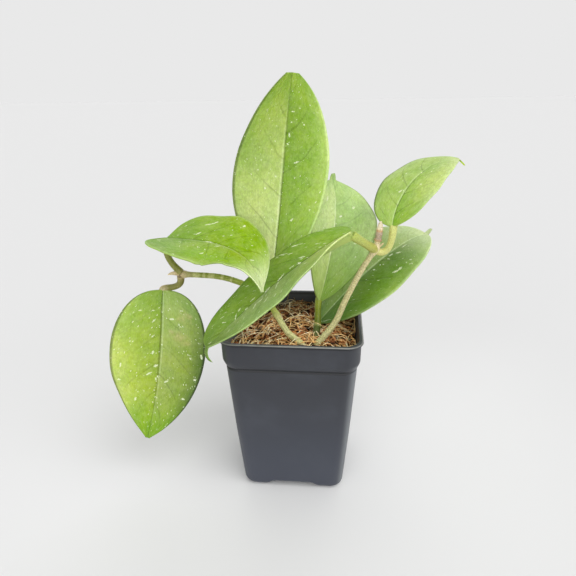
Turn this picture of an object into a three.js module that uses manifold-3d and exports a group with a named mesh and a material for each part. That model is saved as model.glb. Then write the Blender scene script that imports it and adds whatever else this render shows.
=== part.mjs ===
// A young Hoya fungii: seven thick leaves on three rooted shoots, in a small square nursery pot of coir mix.
// Millimetres, +Z up. Every place is measured from the middle of the pot's foot, and at the end the whole
// plant is shifted so that the origin is the middle of its footprint, on the ground.
import * as THREE from 'three';
import { mergeVertices } from 'three/addons/utils/BufferGeometryUtils.js';
import Module from 'manifold-3d';

const wasm = await Module();
wasm.setup();

// Pot: a tapering square body on four feet, a shoulder, and an upright collar with a thin lip
const potHeight = 100.5;
const lipHalf = 38.7;
const collarHalf = 37.5;
const bodyTopHalf = 35.8;
const bodyTopLevel = 83.3;
const collarLevel = 88.7;
const footHalf = 29.7;
const wall = 1.2;
const cornerShare = 0.23;

const footHeight = 4.5;
const channelCeiling = 12;
const channelFlare = 18;
const drainRadius = 5;
const sideDrainRadius = 3;
const sideDrainOffset = 19;

// Potting mix
const soilLevel = 91.2;
const soilRise = 0.8;
const domeMiddle = 3;
const domeFall = 5.2;
const domeSpan = 27;
const chipCount = 26;
const chipThickness = 1.1;
const fibreCount = 34;
const fibreRadius = 0.45;
const strewnSpan = 58;
const clearRadius = 6;

// Leaves
const bladeThickness = 1.3;
const marginThickness = 0.8;
const keelHalfWidth = 1.8;
const ripplesPerBlade = 3.2;
const endSwelling = 0.12;

// Space between two pieces that touch
const gap = 0.3;

// The pot's outside, from the foot to the lip: height and half width
const potOutside = [
  [0, footHalf - 1.3],
  [0.9, footHalf - 0.4],
  [2.4, footHalf],
  [bodyTopLevel, bodyTopHalf],
  [84.9, bodyTopHalf + 0.4],
  [87.1, collarHalf - 0.8],
  [collarLevel, collarHalf - 0.2],
  [potHeight - 1.5, collarHalf],
  [potHeight - 1, lipHalf],
  [potHeight - 0.3, lipHalf],
  [potHeight, lipHalf - 0.4],
];

// The pot's inside, from its floor to above the lip: height and half width
const floorLevel = footHeight + 1.4;
const insideFoot = footHalf - wall + 0.2;
const potInside = [
  [floorLevel, insideFoot],
  [bodyTopLevel + 0.2, bodyTopHalf - wall],
  [collarLevel - 0.7, collarHalf - 0.2 - wall],
  [potHeight + 12, collarHalf - wall],
];

// Shoots: the points that each stem runs through from its buried end, and its radius at both ends. A swelling
// has its place along the stem and its rise. A bud has the points and the radius at both ends.
const stems = {
  left: {
    colour: 0xc8bc8e,
    route: [
      [3, -10, 54.5], [7.6, -18, 80.5], [6.2, -19.5, 90.6], [-1.3, -16.5, 96], [-5.2, -14, 99.8], [-11.8, -10, 109.3],
      [-18, -9, 117], [-27, -9, 122.7], [-41, -9.3, 127.2], [-63.3, -10, 128.7],
    ],
    radius: [1.9, 1.5],
    swellings: [[0.61, 0.5], [1, 0.9]],
    buds: [{ from: [-63.3, -10, 128.7], to: [-70.2, -10, 128.2], radius: [1.6, 0.35] }],
  },
  right: {
    colour: 0xc7b98c,
    route: [
      [17, -17, 54.5], [13, -19.5, 80.5], [12.7, -18.2, 89.5], [19.5, -13.5, 97], [24.2, -11, 103.5], [29, -10, 115.5],
      [37, -10, 133], [43.5, -10, 144.5], [45, -9.5, 150.5], [46, -9, 159.5],
    ],
    radius: [2.2, 1.3],
    swellings: [[0.87, 0.9], [0.92, 0.4]],
    buds: [{ from: [44.2, -10, 145.5], to: [47.8, -9, 147.9], radius: [0.7, 0.4] }],
  },
  centre: {
    colour: 0x6c7a2b,
    route: [[13, -2, 56.5], [12.6, -10, 80.5], [12.4, -11, 88.5], [12.8, -7, 93], [13.3, -1.5, 96]],
    radius: [2.1, 2],
    swellings: [[0.97, 0.3]],
    buds: [],
  },
};

// Leaves. The midrib is a Bezier curve on the upper face, from the petiole to the tip. The face is the way that
// the upper side looks, at the base and at the tip. Half widths are those of the left and the right half, seen
// with the tip up. Each half rises from the midrib by the fold, and turns on by the curl until its margin.
// The tip holds the half widths at the blade's end, and a drip tip curves on from there, by a middle point to its
// own end. The petiole runs from a point in its stem, with a handle at both ends: the last one lies back along
// the midrib and below the blade. Its seat is how far in from the blade's base it ends. Scallops are the bulges and
// hollows of a margin: the half that it is on, its place along the blade, its spread, and how far it moves out.
const leaves = {
  tall: {
    colour: 0x9ab659,
    midrib: [[-13, 2.5, 124.5], [-7, 8.5, 165], [-6, 11, 200], [-0.4, 7.5, 231.5]],
    face: [[-0.4, -0.9, 0.15], [0.6, -0.75, 0.3]],
    halfWidth: [27, 25],
    widestAt: 0.48,
    baseFullness: 0.55,
    tipFullness: [0.62, 0.63],
    fold: 20,
    curl: [-3, -6],
    wave: 0.5,
    tip: [4.2, 3.6],
    petiole: { stem: 'left', from: [-17.8, -9, 116.5], leaving: [1.5, 6, 1], arriving: [4, 0], radius: 1.9 },
  },
  front: {
    colour: 0x7ea23e,
    midrib: [[30.3, -24, 158.3], [7, -20.5, 145], [-20.5, -28.5, 120], [-38.5, -55.5, 108.5]],
    face: [[-0.35, -0.05, 0.95], [-0.4, -0.4, 0.8]],
    halfWidth: [26.5, 18],
    widestAt: 0.34,
    baseFullness: 0.6,
    tipFullness: [0.65, 0.5],
    fold: 12,
    curl: [5, 1],
    wave: 0.4,
    tip: [0.9, 0.9],
    dripTip: [[-39.8, -59.5, 105], [-36.7, -55.5, 99.3]],
    petiole: { stem: 'right', from: [43.5, -10, 144.5], leaving: [-4.5, -4.5, 4], arriving: [1, 2.2], radius: 2.3 },
  },
  left: {
    colour: 0x93b651,
    midrib: [[-67.5, -12, 150.5], [-35, -20.5, 151.5], [-18, -28, 150.5], [-11.5, -47, 134.5]],
    face: [[-0.1, 0, 1], [0.65, -0.75, 0.2]],
    halfWidth: [23.5, 30.5],
    widestAt: 0.17,
    baseFullness: 0.2,
    tipFullness: [1.2, 1.2],
    fold: 10,
    curl: [4, 6.5],
    wave: 0.6,
    tip: [0.8, 0.8],
    scallops: [
      [1, 0.13, 0.06, -1.9], [1, 0.39, 0.08, -2.7], [1, 0.575, 0.03, 2.4], [1, 0.65, 0.05, -3.2], [1, 0.78, 0.1, -2.2],
    ],
    petiole: { stem: 'left', from: [-62.3, -10, 129.7], leaving: [-7.5, -0.5, 7], arriving: [4, 5], seat: 0.5, radius: 1.9 },
  },
  hanging: {
    colour: 0xa4bf66,
    midrib: [[-73.5, -11.5, 119.5], [-74, -21, 94.5], [-76, -26, 65], [-86.5, -30, 31.5]],
    face: [[0.4, -0.9, 0.25], [0.05, -1, 0.15]],
    halfWidth: [25.5, 27.5],
    widestAt: 0.42,
    baseFullness: 0.42,
    tipFullness: [0.87, 0.87],
    fold: 11,
    curl: [-13, -4],
    wave: 0.5,
    tip: [1.3, 1.3],
    petiole: { stem: 'left', from: [-63, -10, 127.4], leaving: [1, 1, -9.5], arriving: [3, 0], radius: 1.9 },
  },
  upper: {
    colour: 0xa3c062,
    midrib: [[51.5, -12, 158], [54, -1, 175.5], [72, 12, 189.5], [87, 14, 188]],
    face: [[-0.5, -0.65, 0.6], [-0.45, -0.2, 0.85]],
    halfWidth: [19.5, 18.5],
    widestAt: 0.44,
    baseFullness: 0.55,
    tipFullness: [0.85, 0.7],
    fold: 8,
    curl: [-25, -8],
    wave: 0.3,
    tip: [1.25, 1.25],
    dripTip: [[88.6, 14.5, 186.7], [91, 15, 184.5]],
    petiole: { stem: 'right', from: [44.2, -9.8, 143.8], leaving: [8, 1, -4], arriving: [5, 0], radius: 1.9 },
  },
  back: {
    colour: 0xb4cc88,
    midrib: [[14.5, 5.5, 108], [23.5, 12.5, 144.5], [24.5, 18, 161], [20.5, 29, 174]],
    face: [[0.5, -0.85, 0.1], [0.6, -0.65, 0.5]],
    halfWidth: [21, 27],
    widestAt: 0.52,
    baseFullness: 0.7,
    tipFullness: [0.78, 0.82],
    fold: 14,
    curl: [10, -11],
    wave: 0.5,
    tip: [2, 2],
    dripTip: [[20.8, 30.2, 175.7], [20.8, 30, 177.4]],
    petiole: { stem: 'centre', from: [13.3, -1.8, 95.5], leaving: [0.1, 0.8, 4.5], arriving: [4, 0], radius: 1.9 },
  },
  low: {
    colour: 0x7fa045,
    midrib: [[13.5, 8.5, 92.5], [41.5, 19.5, 123], [62.5, 29, 139], [77.5, 37.5, 140]],
    face: [[-0.55, -0.6, 0.55], [-0.8, -0.5, 0.35]],
    halfWidth: [25, 27],
    widestAt: 0.41,
    baseFullness: 0.74,
    tipFullness: [0.5, 0.68],
    fold: 8.5,
    curl: [-8.5, -1],
    wave: 0.4,
    tip: [1.4, 1.4],
    dripTip: [[79.3, 39.8, 141.2], [81, 42, 142.2]],
    petiole: { stem: 'centre', from: [12.9, -4.8, 93.7], leaving: [0, 4, -3.5], arriving: [2, 0], radius: 1.7 },
  },
};

const vector = (point) => new THREE.Vector3(...point);
const radians = THREE.MathUtils.degToRad;

// Solids from meshes, and meshes from solids

function toSolid(geometry) {
  const bare = geometry.clone();
  bare.deleteAttribute('normal');
  bare.deleteAttribute('uv');
  const merged = mergeVertices(bare, 1e-4);
  return new wasm.Manifold(new wasm.Mesh({
    numProp: 3,
    vertProperties: new Float32Array(merged.attributes.position.array),
    triVerts: new Uint32Array(merged.index.array),
  }));
}

function toGeometry(solid) {
  const mesh = solid.getMesh();
  const geometry = new THREE.BufferGeometry();
  geometry.setAttribute('position', new THREE.BufferAttribute(new Float32Array(mesh.vertProperties), 3));
  geometry.setIndex(new THREE.BufferAttribute(new Uint32Array(mesh.triVerts), 1));
  geometry.computeVertexNormals();
  return geometry;
}

function largestPiece(solid) {
  const pieces = solid.decompose();
  pieces.sort((one, other) => other.volume() - one.volume());
  return pieces[0];
}

// A solid of square levels with round corners, each level a height and a half width
function squareLevels(levels, shrink) {
  const shape = new THREE.Shape();
  const flat = 1 - cornerShare;
  for (const quarter of [0, 1, 2, 3]) {
    const turn = quarter * Math.PI / 2;
    const x = flat * Math.SQRT2 * Math.cos(turn + Math.PI / 4);
    const y = flat * Math.SQRT2 * Math.sin(turn + Math.PI / 4);
    shape.absarc(x, y, cornerShare, turn, turn + Math.PI / 2);
  }
  const geometry = new THREE.ExtrudeGeometry(shape, {
    depth: levels.length - 1,
    steps: levels.length - 1,
    bevelEnabled: false,
    curveSegments: 4,
  });
  const place = geometry.attributes.position;
  for (let i = 0; i < place.count; i++) {
    const [height, half] = levels[Math.round(place.getZ(i))];
    place.setXYZ(i, place.getX(i) * (half - shrink), place.getY(i) * (half - shrink), height);
  }
  return toSolid(geometry);
}

// What is cut away between the feet, through the whole pot: its walls lean out to the ground
function channel(turned) {
  const slant = (channelFlare - channelCeiling) / footHeight;
  const outline = new THREE.Shape([
    new THREE.Vector2(-channelCeiling, footHeight),
    new THREE.Vector2(-channelFlare - slant, -1),
    new THREE.Vector2(channelFlare + slant, -1),
    new THREE.Vector2(channelCeiling, footHeight),
  ]);
  const reach = 3 * footHalf;
  const geometry = new THREE.ExtrudeGeometry(outline, { depth: reach, bevelEnabled: false });
  return toSolid(geometry.translate(0, 0, -reach / 2).rotateX(Math.PI / 2).rotateZ(turned));
}

function block(width, depth, height, x, y, z) {
  return toSolid(new THREE.BoxGeometry(width, depth, height).translate(x, y, z));
}

// A drill through the pot's floor
function floorDrill(radius, x, y) {
  const drill = new THREE.CylinderGeometry(radius, radius, 4 * floorLevel, 16).rotateX(Math.PI / 2);
  return toSolid(drill.translate(x, y, 0));
}

// A round bar along a curve, with a radius for each place on it
function bar(curve, radiusAt, sides, rings) {
  const geometry = new THREE.CylinderGeometry(1, 1, 1, sides, rings);
  const frames = curve.computeFrenetFrames(rings);
  const place = geometry.attributes.position;
  for (let i = 0; i < place.count; i++) {
    const ring = Math.round((place.getY(i) + 0.5) * rings);
    const along = ring / rings;
    const point = curve.getPointAt(along);
    point.addScaledVector(frames.normals[ring], place.getX(i) * radiusAt(along));
    point.addScaledVector(frames.binormals[ring], -place.getZ(i) * radiusAt(along));
    place.setXYZ(i, ...point);
  }
  return geometry;
}

// Pot

// The space inside the pot: its tapering room, and a pocket in each of the four feet below it
function potRoom(clearance) {
  const bottom = floorLevel - footHeight + clearance;
  const top = floorLevel + 1;
  const pocketOutside = squareLevels([[bottom, insideFoot - 1], [top, insideFoot - 1]], clearance);
  const pocketInner = channelFlare + clearance;
  const width = insideFoot - pocketInner;
  const middle = pocketInner + width / 2;
  let room = squareLevels(potInside, clearance);
  for (const sideX of [-1, 1]) {
    for (const sideY of [-1, 1]) {
      const pocket = block(width, width, top - bottom, sideX * middle, sideY * middle, (top + bottom) / 2);
      room = room.add(pocket.intersect(pocketOutside));
    }
  }
  return room;
}

function makePot() {
  let pot = squareLevels(potOutside, 0);
  pot = pot.subtract(channel(0)).subtract(channel(Math.PI / 2));
  pot = pot.subtract(potRoom(0));
  pot = pot.subtract(floorDrill(drainRadius, 0, 0));
  for (const [x, y] of [[1, 0], [-1, 0], [0, 1], [0, -1]]) {
    pot = pot.subtract(floorDrill(sideDrainRadius, x * sideDrainOffset, y * sideDrainOffset));
  }
  return pot;
}

// Potting mix

// A fixed stream of numbers from 0 to 1, so that the coir always lies the same way
function seededDraw(seed) {
  let state = seed;
  return () => {
    state = (state * 1664525 + 1013904223) % 4294967296;
    return state / 4294967296;
  };
}

// The mix falls to both sides and rises a little to the back, in lumps, with a dip under the lowest leaf's root
function soilHeight(x, y) {
  const slope = soilRise * y / lipHalf;
  const lumps = 0.7 * Math.sin(x / 4.1 + 1.3) * Math.cos(y / 4.9 + 0.4) + 0.5 * Math.sin(x / 2.3 - y / 3.1);
  const dip = 2 * Math.exp(-((x - 14) ** 2 + (y - 7) ** 2) / 60);
  const fall = domeFall * Math.min(1, ((x - domeMiddle) / domeSpan) ** 2);
  return soilLevel + slope + lumps - dip - fall;
}

function soilGround() {
  const cells = 12;
  const span = 2.2 * lipHalf;
  const geometry = new THREE.BoxGeometry(span, span, 1, cells, cells, 1);
  const place = geometry.attributes.position;
  for (let i = 0; i < place.count; i++) {
    const x = place.getX(i);
    const y = place.getY(i);
    place.setZ(i, place.getZ(i) > 0 ? soilHeight(x, y) : 0);
  }
  return toSolid(geometry);
}

// Where a chip or fibre may lie: clear of the stems' feet and of the lowest leaf's root
function isClear(x, y) {
  const roots = [...Object.values(stems).map(({ route }) => route[2]), leaves.low.midrib[0]];
  return roots.every(([rootX, rootY]) => Math.hypot(x - rootX, y - rootY) > clearRadius);
}

function coirChip(draw) {
  const x = (draw() - 0.5) * strewnSpan;
  const y = (draw() - 0.5) * strewnSpan;
  const chip = new THREE.BoxGeometry(3 + 4 * draw(), 2 + 2 * draw(), chipThickness);
  chip.rotateX((draw() - 0.5) * 1.2);
  chip.rotateY((draw() - 0.5) * 1.2);
  chip.rotateZ(draw() * Math.PI);
  chip.translate(x, y, soilHeight(x, y) + 0.2);
  return isClear(x, y) ? chip : null;
}

// A fibre leaves the mix at one end, arches over it and goes back in at the other
function coirFibre(draw) {
  const x = (draw() - 0.5) * strewnSpan;
  const y = (draw() - 0.5) * strewnSpan;
  const turn = draw() * Math.PI * 2;
  const reach = 4 + 5 * draw();
  const rise = 2 + 3.5 * draw();
  const bend = (draw() - 0.5) * 6;
  const from = new THREE.Vector3(x - reach * Math.cos(turn), y - reach * Math.sin(turn), 0);
  const to = new THREE.Vector3(x + reach * Math.cos(turn), y + reach * Math.sin(turn), 0);
  from.z = soilHeight(from.x, from.y) - 1.5;
  to.z = soilHeight(to.x, to.y) - 1.5;
  const top = new THREE.Vector3(x - bend * Math.sin(turn), y + bend * Math.cos(turn), soilHeight(x, y) + rise);
  const curve = new THREE.QuadraticBezierCurve3(from, top, to);
  const free = [from, top, to].every((point) => isClear(point.x, point.y));
  return free ? bar(curve, () => fibreRadius, 3, 4) : null;
}

function makeMix(openings) {
  const draw = seededDraw(7);
  let mix = soilGround();
  for (let i = 0; i < chipCount; i++) {
    const chip = coirChip(draw);
    if (chip) mix = mix.add(toSolid(chip));
  }
  for (let i = 0; i < fibreCount; i++) {
    const fibre = coirFibre(draw);
    if (fibre) mix = mix.add(toSolid(fibre));
  }
  mix = mix.intersect(potRoom(gap));
  for (const opening of openings) {
    mix = mix.subtract(opening);
  }
  return largestPiece(mix);
}

// Stems and petioles

function stemRadius(stem, along) {
  let radius = THREE.MathUtils.lerp(stem.radius[0], stem.radius[1], along);
  for (const [place, extra] of stem.swellings) {
    radius += extra * Math.exp(-(((along - place) / 0.02) ** 2));
  }
  return radius;
}

function makeStem(stem, clearance) {
  const curve = new THREE.CatmullRomCurve3(stem.route.map(vector), false, 'catmullrom', 0.5);
  const rings = stem.route.length * 4;
  let solid = toSolid(bar(curve, (along) => stemRadius(stem, along) + clearance, 8, rings));
  for (const bud of stem.buds) {
    const line = new THREE.LineCurve3(vector(bud.from), vector(bud.to));
    const radiusAt = (along) => THREE.MathUtils.lerp(...bud.radius, along ** 2) + clearance;
    solid = solid.add(toSolid(bar(line, radiusAt, 6, 3)));
  }
  return solid;
}

// A petiole's bar, thicker at both ends
function petioleBar(leaf, clearance) {
  const { from, leaving, arriving, radius, seat = -gap } = leaf.petiole;
  const [back, below] = arriving;
  const base = bladePoint(leaf, 0);
  const end = base.point.addScaledVector(base.tangent, seat).addScaledVector(base.normal, -radius);
  const handle = end.clone().addScaledVector(base.tangent, -back).addScaledVector(base.normal, -below);
  const curve = new THREE.CubicBezierCurve3(vector(from), vector(from).add(vector(leaving)), handle, end);
  const radiusAt = (along) => radius * (1 + endSwelling * Math.cos(2 * Math.PI * along)) + clearance;
  return toSolid(bar(curve, radiusAt, 8, 10));
}

// A petiole, cut back to the gap where it meets its stem and its blade
function makePetiole(leaf, stemSleeve, bladeSleeve) {
  return largestPiece(petioleBar(leaf, 0).subtract(stemSleeve).subtract(bladeSleeve));
}

// Leaf blades

// The share of its full width that a half has at a place along the blade
function widthShare(leaf, along, half) {
  if (along < leaf.widestAt) {
    return (1 - (1 - along / leaf.widestAt) ** 2) ** leaf.baseFullness;
  }
  return Math.max(0, 1 - ((along - leaf.widestAt) / (1 - leaf.widestAt)) ** 2) ** leaf.tipFullness[half];
}

// The upper face's frame on the midrib
function bladePoint(leaf, along) {
  const curve = new THREE.CubicBezierCurve3(...leaf.midrib.map(vector));
  const point = curve.getPoint(along);
  const tangent = curve.getTangent(along);
  const normal = vector(leaf.face[0]).normalize().lerp(vector(leaf.face[1]).normalize(), along);
  normal.addScaledVector(tangent, -normal.dot(tangent)).normalize();
  const side = new THREE.Vector3().crossVectors(tangent, normal);
  return { point, tangent, normal, side };
}

// The same frame on the narrow drip tip that goes on from the blade's end
function dripTipPoint(leaf, share) {
  const end = bladePoint(leaf, 1);
  const curve = new THREE.QuadraticBezierCurve3(end.point, ...leaf.dripTip.map(vector));
  const tangent = curve.getTangent(share);
  const side = end.side.addScaledVector(tangent, -end.side.dot(tangent)).normalize();
  const normal = new THREE.Vector3().crossVectors(side, tangent);
  return { point: curve.getPoint(share), tangent, normal, side };
}

// How far a margin's bulges and hollows move it out
function scallop(leaf, along, half) {
  let out = 0;
  for (const [side, place, spread, rise] of leaf.scallops ?? []) {
    if (side === half) out += rise * Math.exp(-(((along - place) / spread) ** 2));
  }
  return out;
}

// One row of the blade: its points on the upper and on the lower face, from the left margin to the right
function bladeRow(leaf, along, columns, clearance) {
  const frame = bladePoint(leaf, along);
  const root = leaf.petiole.radius;
  const keel = (2 * root - bladeThickness) * (1 - along) ** 1.5;
  const row = { upper: [], lower: [] };
  for (const across of columns) {
    const half = across < 0 ? 0 : 1;
    const reach = Math.abs(across);
    const share = widthShare(leaf, along, half);
    const end = THREE.MathUtils.lerp(root, leaf.tip[half], along);
    const width = Math.hypot(leaf.halfWidth[half] * share + scallop(leaf, along, half), end) + clearance;
    const fold = radians(leaf.fold);
    const curl = radians(leaf.curl[half]) * reach;
    const angle = fold + curl / 2;
    const ripple = leaf.wave * reach ** 2 * share * Math.sin(2 * Math.PI * (ripplesPerBlade * along + 0.4 * half));
    const away = width * reach / keelHalfWidth;
    const thickness = THREE.MathUtils.lerp(bladeThickness, marginThickness, reach) + keel * Math.exp(-(away ** 2));
    const down = frame.normal.clone().multiplyScalar(-Math.cos(fold + curl));
    down.addScaledVector(frame.side, Math.sign(across) * Math.sin(fold + curl));
    const upper = frame.point.clone();
    upper.addScaledVector(frame.side, Math.sign(across) * width * reach * Math.cos(angle));
    upper.addScaledVector(frame.normal, width * reach * Math.sin(angle) + ripple);
    if (along === 0) upper.addScaledVector(frame.tangent, -clearance);
    row.upper.push(upper.clone().addScaledVector(down, -clearance));
    row.lower.push(upper.clone().addScaledVector(down, thickness + clearance));
  }
  return row;
}

function dripTipRow(leaf, share, columns) {
  const frame = dripTipPoint(leaf, share);
  const row = { upper: [], lower: [] };
  for (const across of columns) {
    const width = leaf.tip[across < 0 ? 0 : 1] * (1 - 0.4 * share);
    const upper = frame.point.clone().addScaledVector(frame.side, across * width);
    row.upper.push(upper);
    row.lower.push(upper.clone().addScaledVector(frame.normal, -marginThickness));
  }
  return row;
}

// A closed sheet from rows of upper and lower points, split into triangles alike on both faces
function sheetSolid(rows) {
  const columns = rows[0].upper.length;
  const positions = [];
  for (const row of rows) {
    for (const point of [...row.upper, ...row.lower]) {
      positions.push(...point);
    }
  }
  const upper = (row, column) => row * 2 * columns + column;
  const lower = (row, column) => upper(row, column) + columns;
  const index = [];
  const quad = (a, b, c, d) => index.push(a, b, c, a, c, d);
  for (let r = 0; r + 1 < rows.length; r++) {
    for (let c = 0; c + 1 < columns; c++) {
      index.push(upper(r, c), upper(r, c + 1), upper(r + 1, c + 1), upper(r, c), upper(r + 1, c + 1), upper(r + 1, c));
      index.push(lower(r, c), lower(r + 1, c + 1), lower(r, c + 1), lower(r, c), lower(r + 1, c), lower(r + 1, c + 1));
    }
    quad(upper(r, 0), upper(r + 1, 0), lower(r + 1, 0), lower(r, 0));
    const last = columns - 1;
    quad(upper(r, last), lower(r, last), lower(r + 1, last), upper(r + 1, last));
  }
  const end = rows.length - 1;
  for (let c = 0; c + 1 < columns; c++) {
    quad(upper(0, c), lower(0, c), lower(0, c + 1), upper(0, c + 1));
    quad(upper(end, c), upper(end, c + 1), lower(end, c + 1), lower(end, c));
  }
  const geometry = new THREE.BufferGeometry();
  geometry.setAttribute('position', new THREE.Float32BufferAttribute(positions, 3));
  geometry.setIndex(index);
  geometry.computeVertexNormals();
  return geometry;
}

function makeBlade(leaf, clearance) {
  const columns = [-1, -0.75, -0.4, -0.1, 0, 0.1, 0.4, 0.75, 1];
  const steps = 15;
  const rows = [];
  for (let i = 0; i <= steps; i++) {
    const along = (1 - Math.cos(Math.PI * i / steps)) / 2;
    rows.push(bladeRow(leaf, along, columns, clearance));
  }
  if (leaf.dripTip) {
    for (const share of [0.35, 0.7, 1]) {
      rows.push(dripTipRow(leaf, share, columns));
    }
  }
  return sheetSolid(rows);
}

// The whole plant in its pot

const plant = new THREE.Group();

function addPiece(name, geometry, colour, roughness) {
  const material = new THREE.MeshStandardMaterial({ color: colour, roughness, metalness: 0 });
  const piece = new THREE.Mesh(geometry, material);
  piece.name = name;
  plant.add(piece);
}

// Sleeves are the pieces made bigger by the gap, to cut their neighbours back
const stemSleeves = {};
for (const [name, stem] of Object.entries(stems)) {
  stemSleeves[name] = makeStem(stem, gap);
  addPiece(`stem_${name}`, toGeometry(makeStem(stem, 0)), stem.colour, 0.7);
}
for (const [name, leaf] of Object.entries(leaves)) {
  const bladeSleeve = toSolid(makeBlade(leaf, gap));
  const petiole = makePetiole(leaf, stemSleeves[leaf.petiole.stem], bladeSleeve);
  addPiece(`leaf_${name}`, makeBlade(leaf, 0), leaf.colour, 0.45);
  addPiece(`petiole_${name}`, toGeometry(petiole), 0xb9bf57, 0.5);
}
addPiece('pot', toGeometry(makePot()), 0x47494e, 0.55);
const openings = [...Object.values(stemSleeves), petioleBar(leaves.low, gap), toSolid(makeBlade(leaves.low, gap))];
addPiece('potting_mix', toGeometry(makeMix(openings)), 0x7a5530, 0.95);

plant.updateMatrixWorld(true);
const footprint = new THREE.Box3().setFromObject(plant);
const centre = footprint.getCenter(new THREE.Vector3());
plant.position.set(-centre.x, -centre.y, -footprint.min.z);

export default plant;
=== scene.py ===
# A young Hoya fungii in a small square nursery pot: its looks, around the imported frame.
# Shapes are made in millimetres from the middle of the pot's foot, then moved into the frame in metres.
import math
import random

import bmesh
import bpy
from mathutils import Matrix, Vector, noise


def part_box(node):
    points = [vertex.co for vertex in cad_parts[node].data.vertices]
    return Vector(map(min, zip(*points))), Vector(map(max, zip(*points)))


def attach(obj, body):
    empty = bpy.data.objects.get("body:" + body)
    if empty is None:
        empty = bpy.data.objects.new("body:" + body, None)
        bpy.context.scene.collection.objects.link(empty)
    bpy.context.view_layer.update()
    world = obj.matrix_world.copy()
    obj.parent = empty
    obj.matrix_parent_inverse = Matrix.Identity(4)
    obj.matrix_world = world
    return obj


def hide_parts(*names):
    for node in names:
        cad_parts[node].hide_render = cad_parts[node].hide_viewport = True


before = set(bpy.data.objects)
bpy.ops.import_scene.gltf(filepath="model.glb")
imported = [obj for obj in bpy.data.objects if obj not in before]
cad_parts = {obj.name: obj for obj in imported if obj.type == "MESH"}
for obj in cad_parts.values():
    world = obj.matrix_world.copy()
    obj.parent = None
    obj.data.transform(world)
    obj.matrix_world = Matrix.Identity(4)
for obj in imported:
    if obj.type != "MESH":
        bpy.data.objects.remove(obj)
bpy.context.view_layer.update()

low_corner, high_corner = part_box("pot")
pot_centre = Vector(((low_corner.x + high_corner.x) / 2, (low_corner.y + high_corner.y) / 2, low_corner.z))
into_frame = Matrix.Translation(pot_centre) @ Matrix.Scale(0.001, 4)
scene = bpy.context.scene
# Without a seed, noise_vector gives other lumps in each run
noise.seed_set(5)

# Pot
pot_height = 100.5
lip_half = 38.7
collar_half = 37.5
body_top_half = 35.8
body_top_level = 83.3
collar_level = 88.7
crease_level = 83.8
foot_half = 29.7
wall = 1.2
corner_share = 0.23
corner_steps = 12
foot_height = 4.5
channel_half_width = 12
floor_level = foot_height + 1.4
middle_hole_radius = 5
side_hole_radius = 3
side_hole_place = 19
inside_foot = foot_half - wall + 0.2

# Potting mix
soil_level = 91.2
soil_rise = 0.8
dome_middle = 3
dome_fall = 5.2
dome_span = 27
hollow_place = (14, 7)
hollow_depth = 2
hollow_spread = 60
ground_bottom = 81.5
ground_gap = 0.15
ground_depth = 1.8
crumb_rise = 1.5
chip_count = 260
stray_radius = 0.26
stray_routes = [
    [(-7.4, 34, 90), (-7.7, 34.3, 95.2), (-6.7, 34.8, 99.9)],
    [(-3.5, 33.5, 90), (-2.4, 34, 94), (-3.6, 34.6, 97)],
    [(20, -1, 92.5), (24, -0.7, 94.6), (29, -0.75, 93), (32.4, 0.1, 90)],
    [(10.5, -5, 99.1), (13.7, -7, 98.9), (16, -6, 96.9), (18.3, -5, 94.6)],
]

# Leaves and stems
blade_thickness = 1.3
margin_thickness = 0.8
keel_half_width = 1.8
ripples_per_blade = 3.2
vein_slant = 0.26
vein_bend = 1.2
veins_per_half = 5
right_half_shift = 0.4
end_swelling = 0.07
stem_lumpiness = 0.12
colour_places = (0.0, 0.2, 0.485, 0.515, 0.8, 1.0)
silver_colour = (236, 244, 208)
blush_colour = (206, 190, 134)

stems = {
    "left": {
        "route": [(3, -10, 54.5), (7.6, -18, 80.5), (6.2, -19.5, 90.6), (-1.3, -16.5, 96), (-5.2, -14, 99.8),
                  (-11.8, -10, 109.3), (-18, -9, 117), (-27, -9, 122.7), (-41, -9.3, 127.2),
                  (-63.3, -10, 128.7)],
        "radius": (1.95, 1.5),
        "swellings": [(0.5, 0.35, 0.012), (0.985, 0.8, 0.018)],
    },
    "right": {
        "route": [(17, -17, 54.5), (13, -19.5, 80.5), (12.7, -18.2, 89.5), (19.5, -13.5, 97),
                  (24.2, -11, 103.5), (29, -10, 115.5), (37, -10, 133), (43.5, -10, 144.5), (45, -9.5, 150.5),
                  (46, -9, 159.5)],
        "radius": (2.2, 1.3),
        "swellings": [(0.868, 1.0, 0.022), (0.915, 0.8, 0.006), (0.966, 0.4, 0.007), (0.94, 0.45, 0.02)],
    },
    "centre": {
        "route": [(13, -2, 56.5), (12.6, -10, 80.5), (12.4, -11, 88.5), (12.8, -7, 93), (13.3, -1.5, 96)],
        "radius": (2.1, 2),
        "swellings": [(0.965, 0.3, 0.02)],
    },
}

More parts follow.
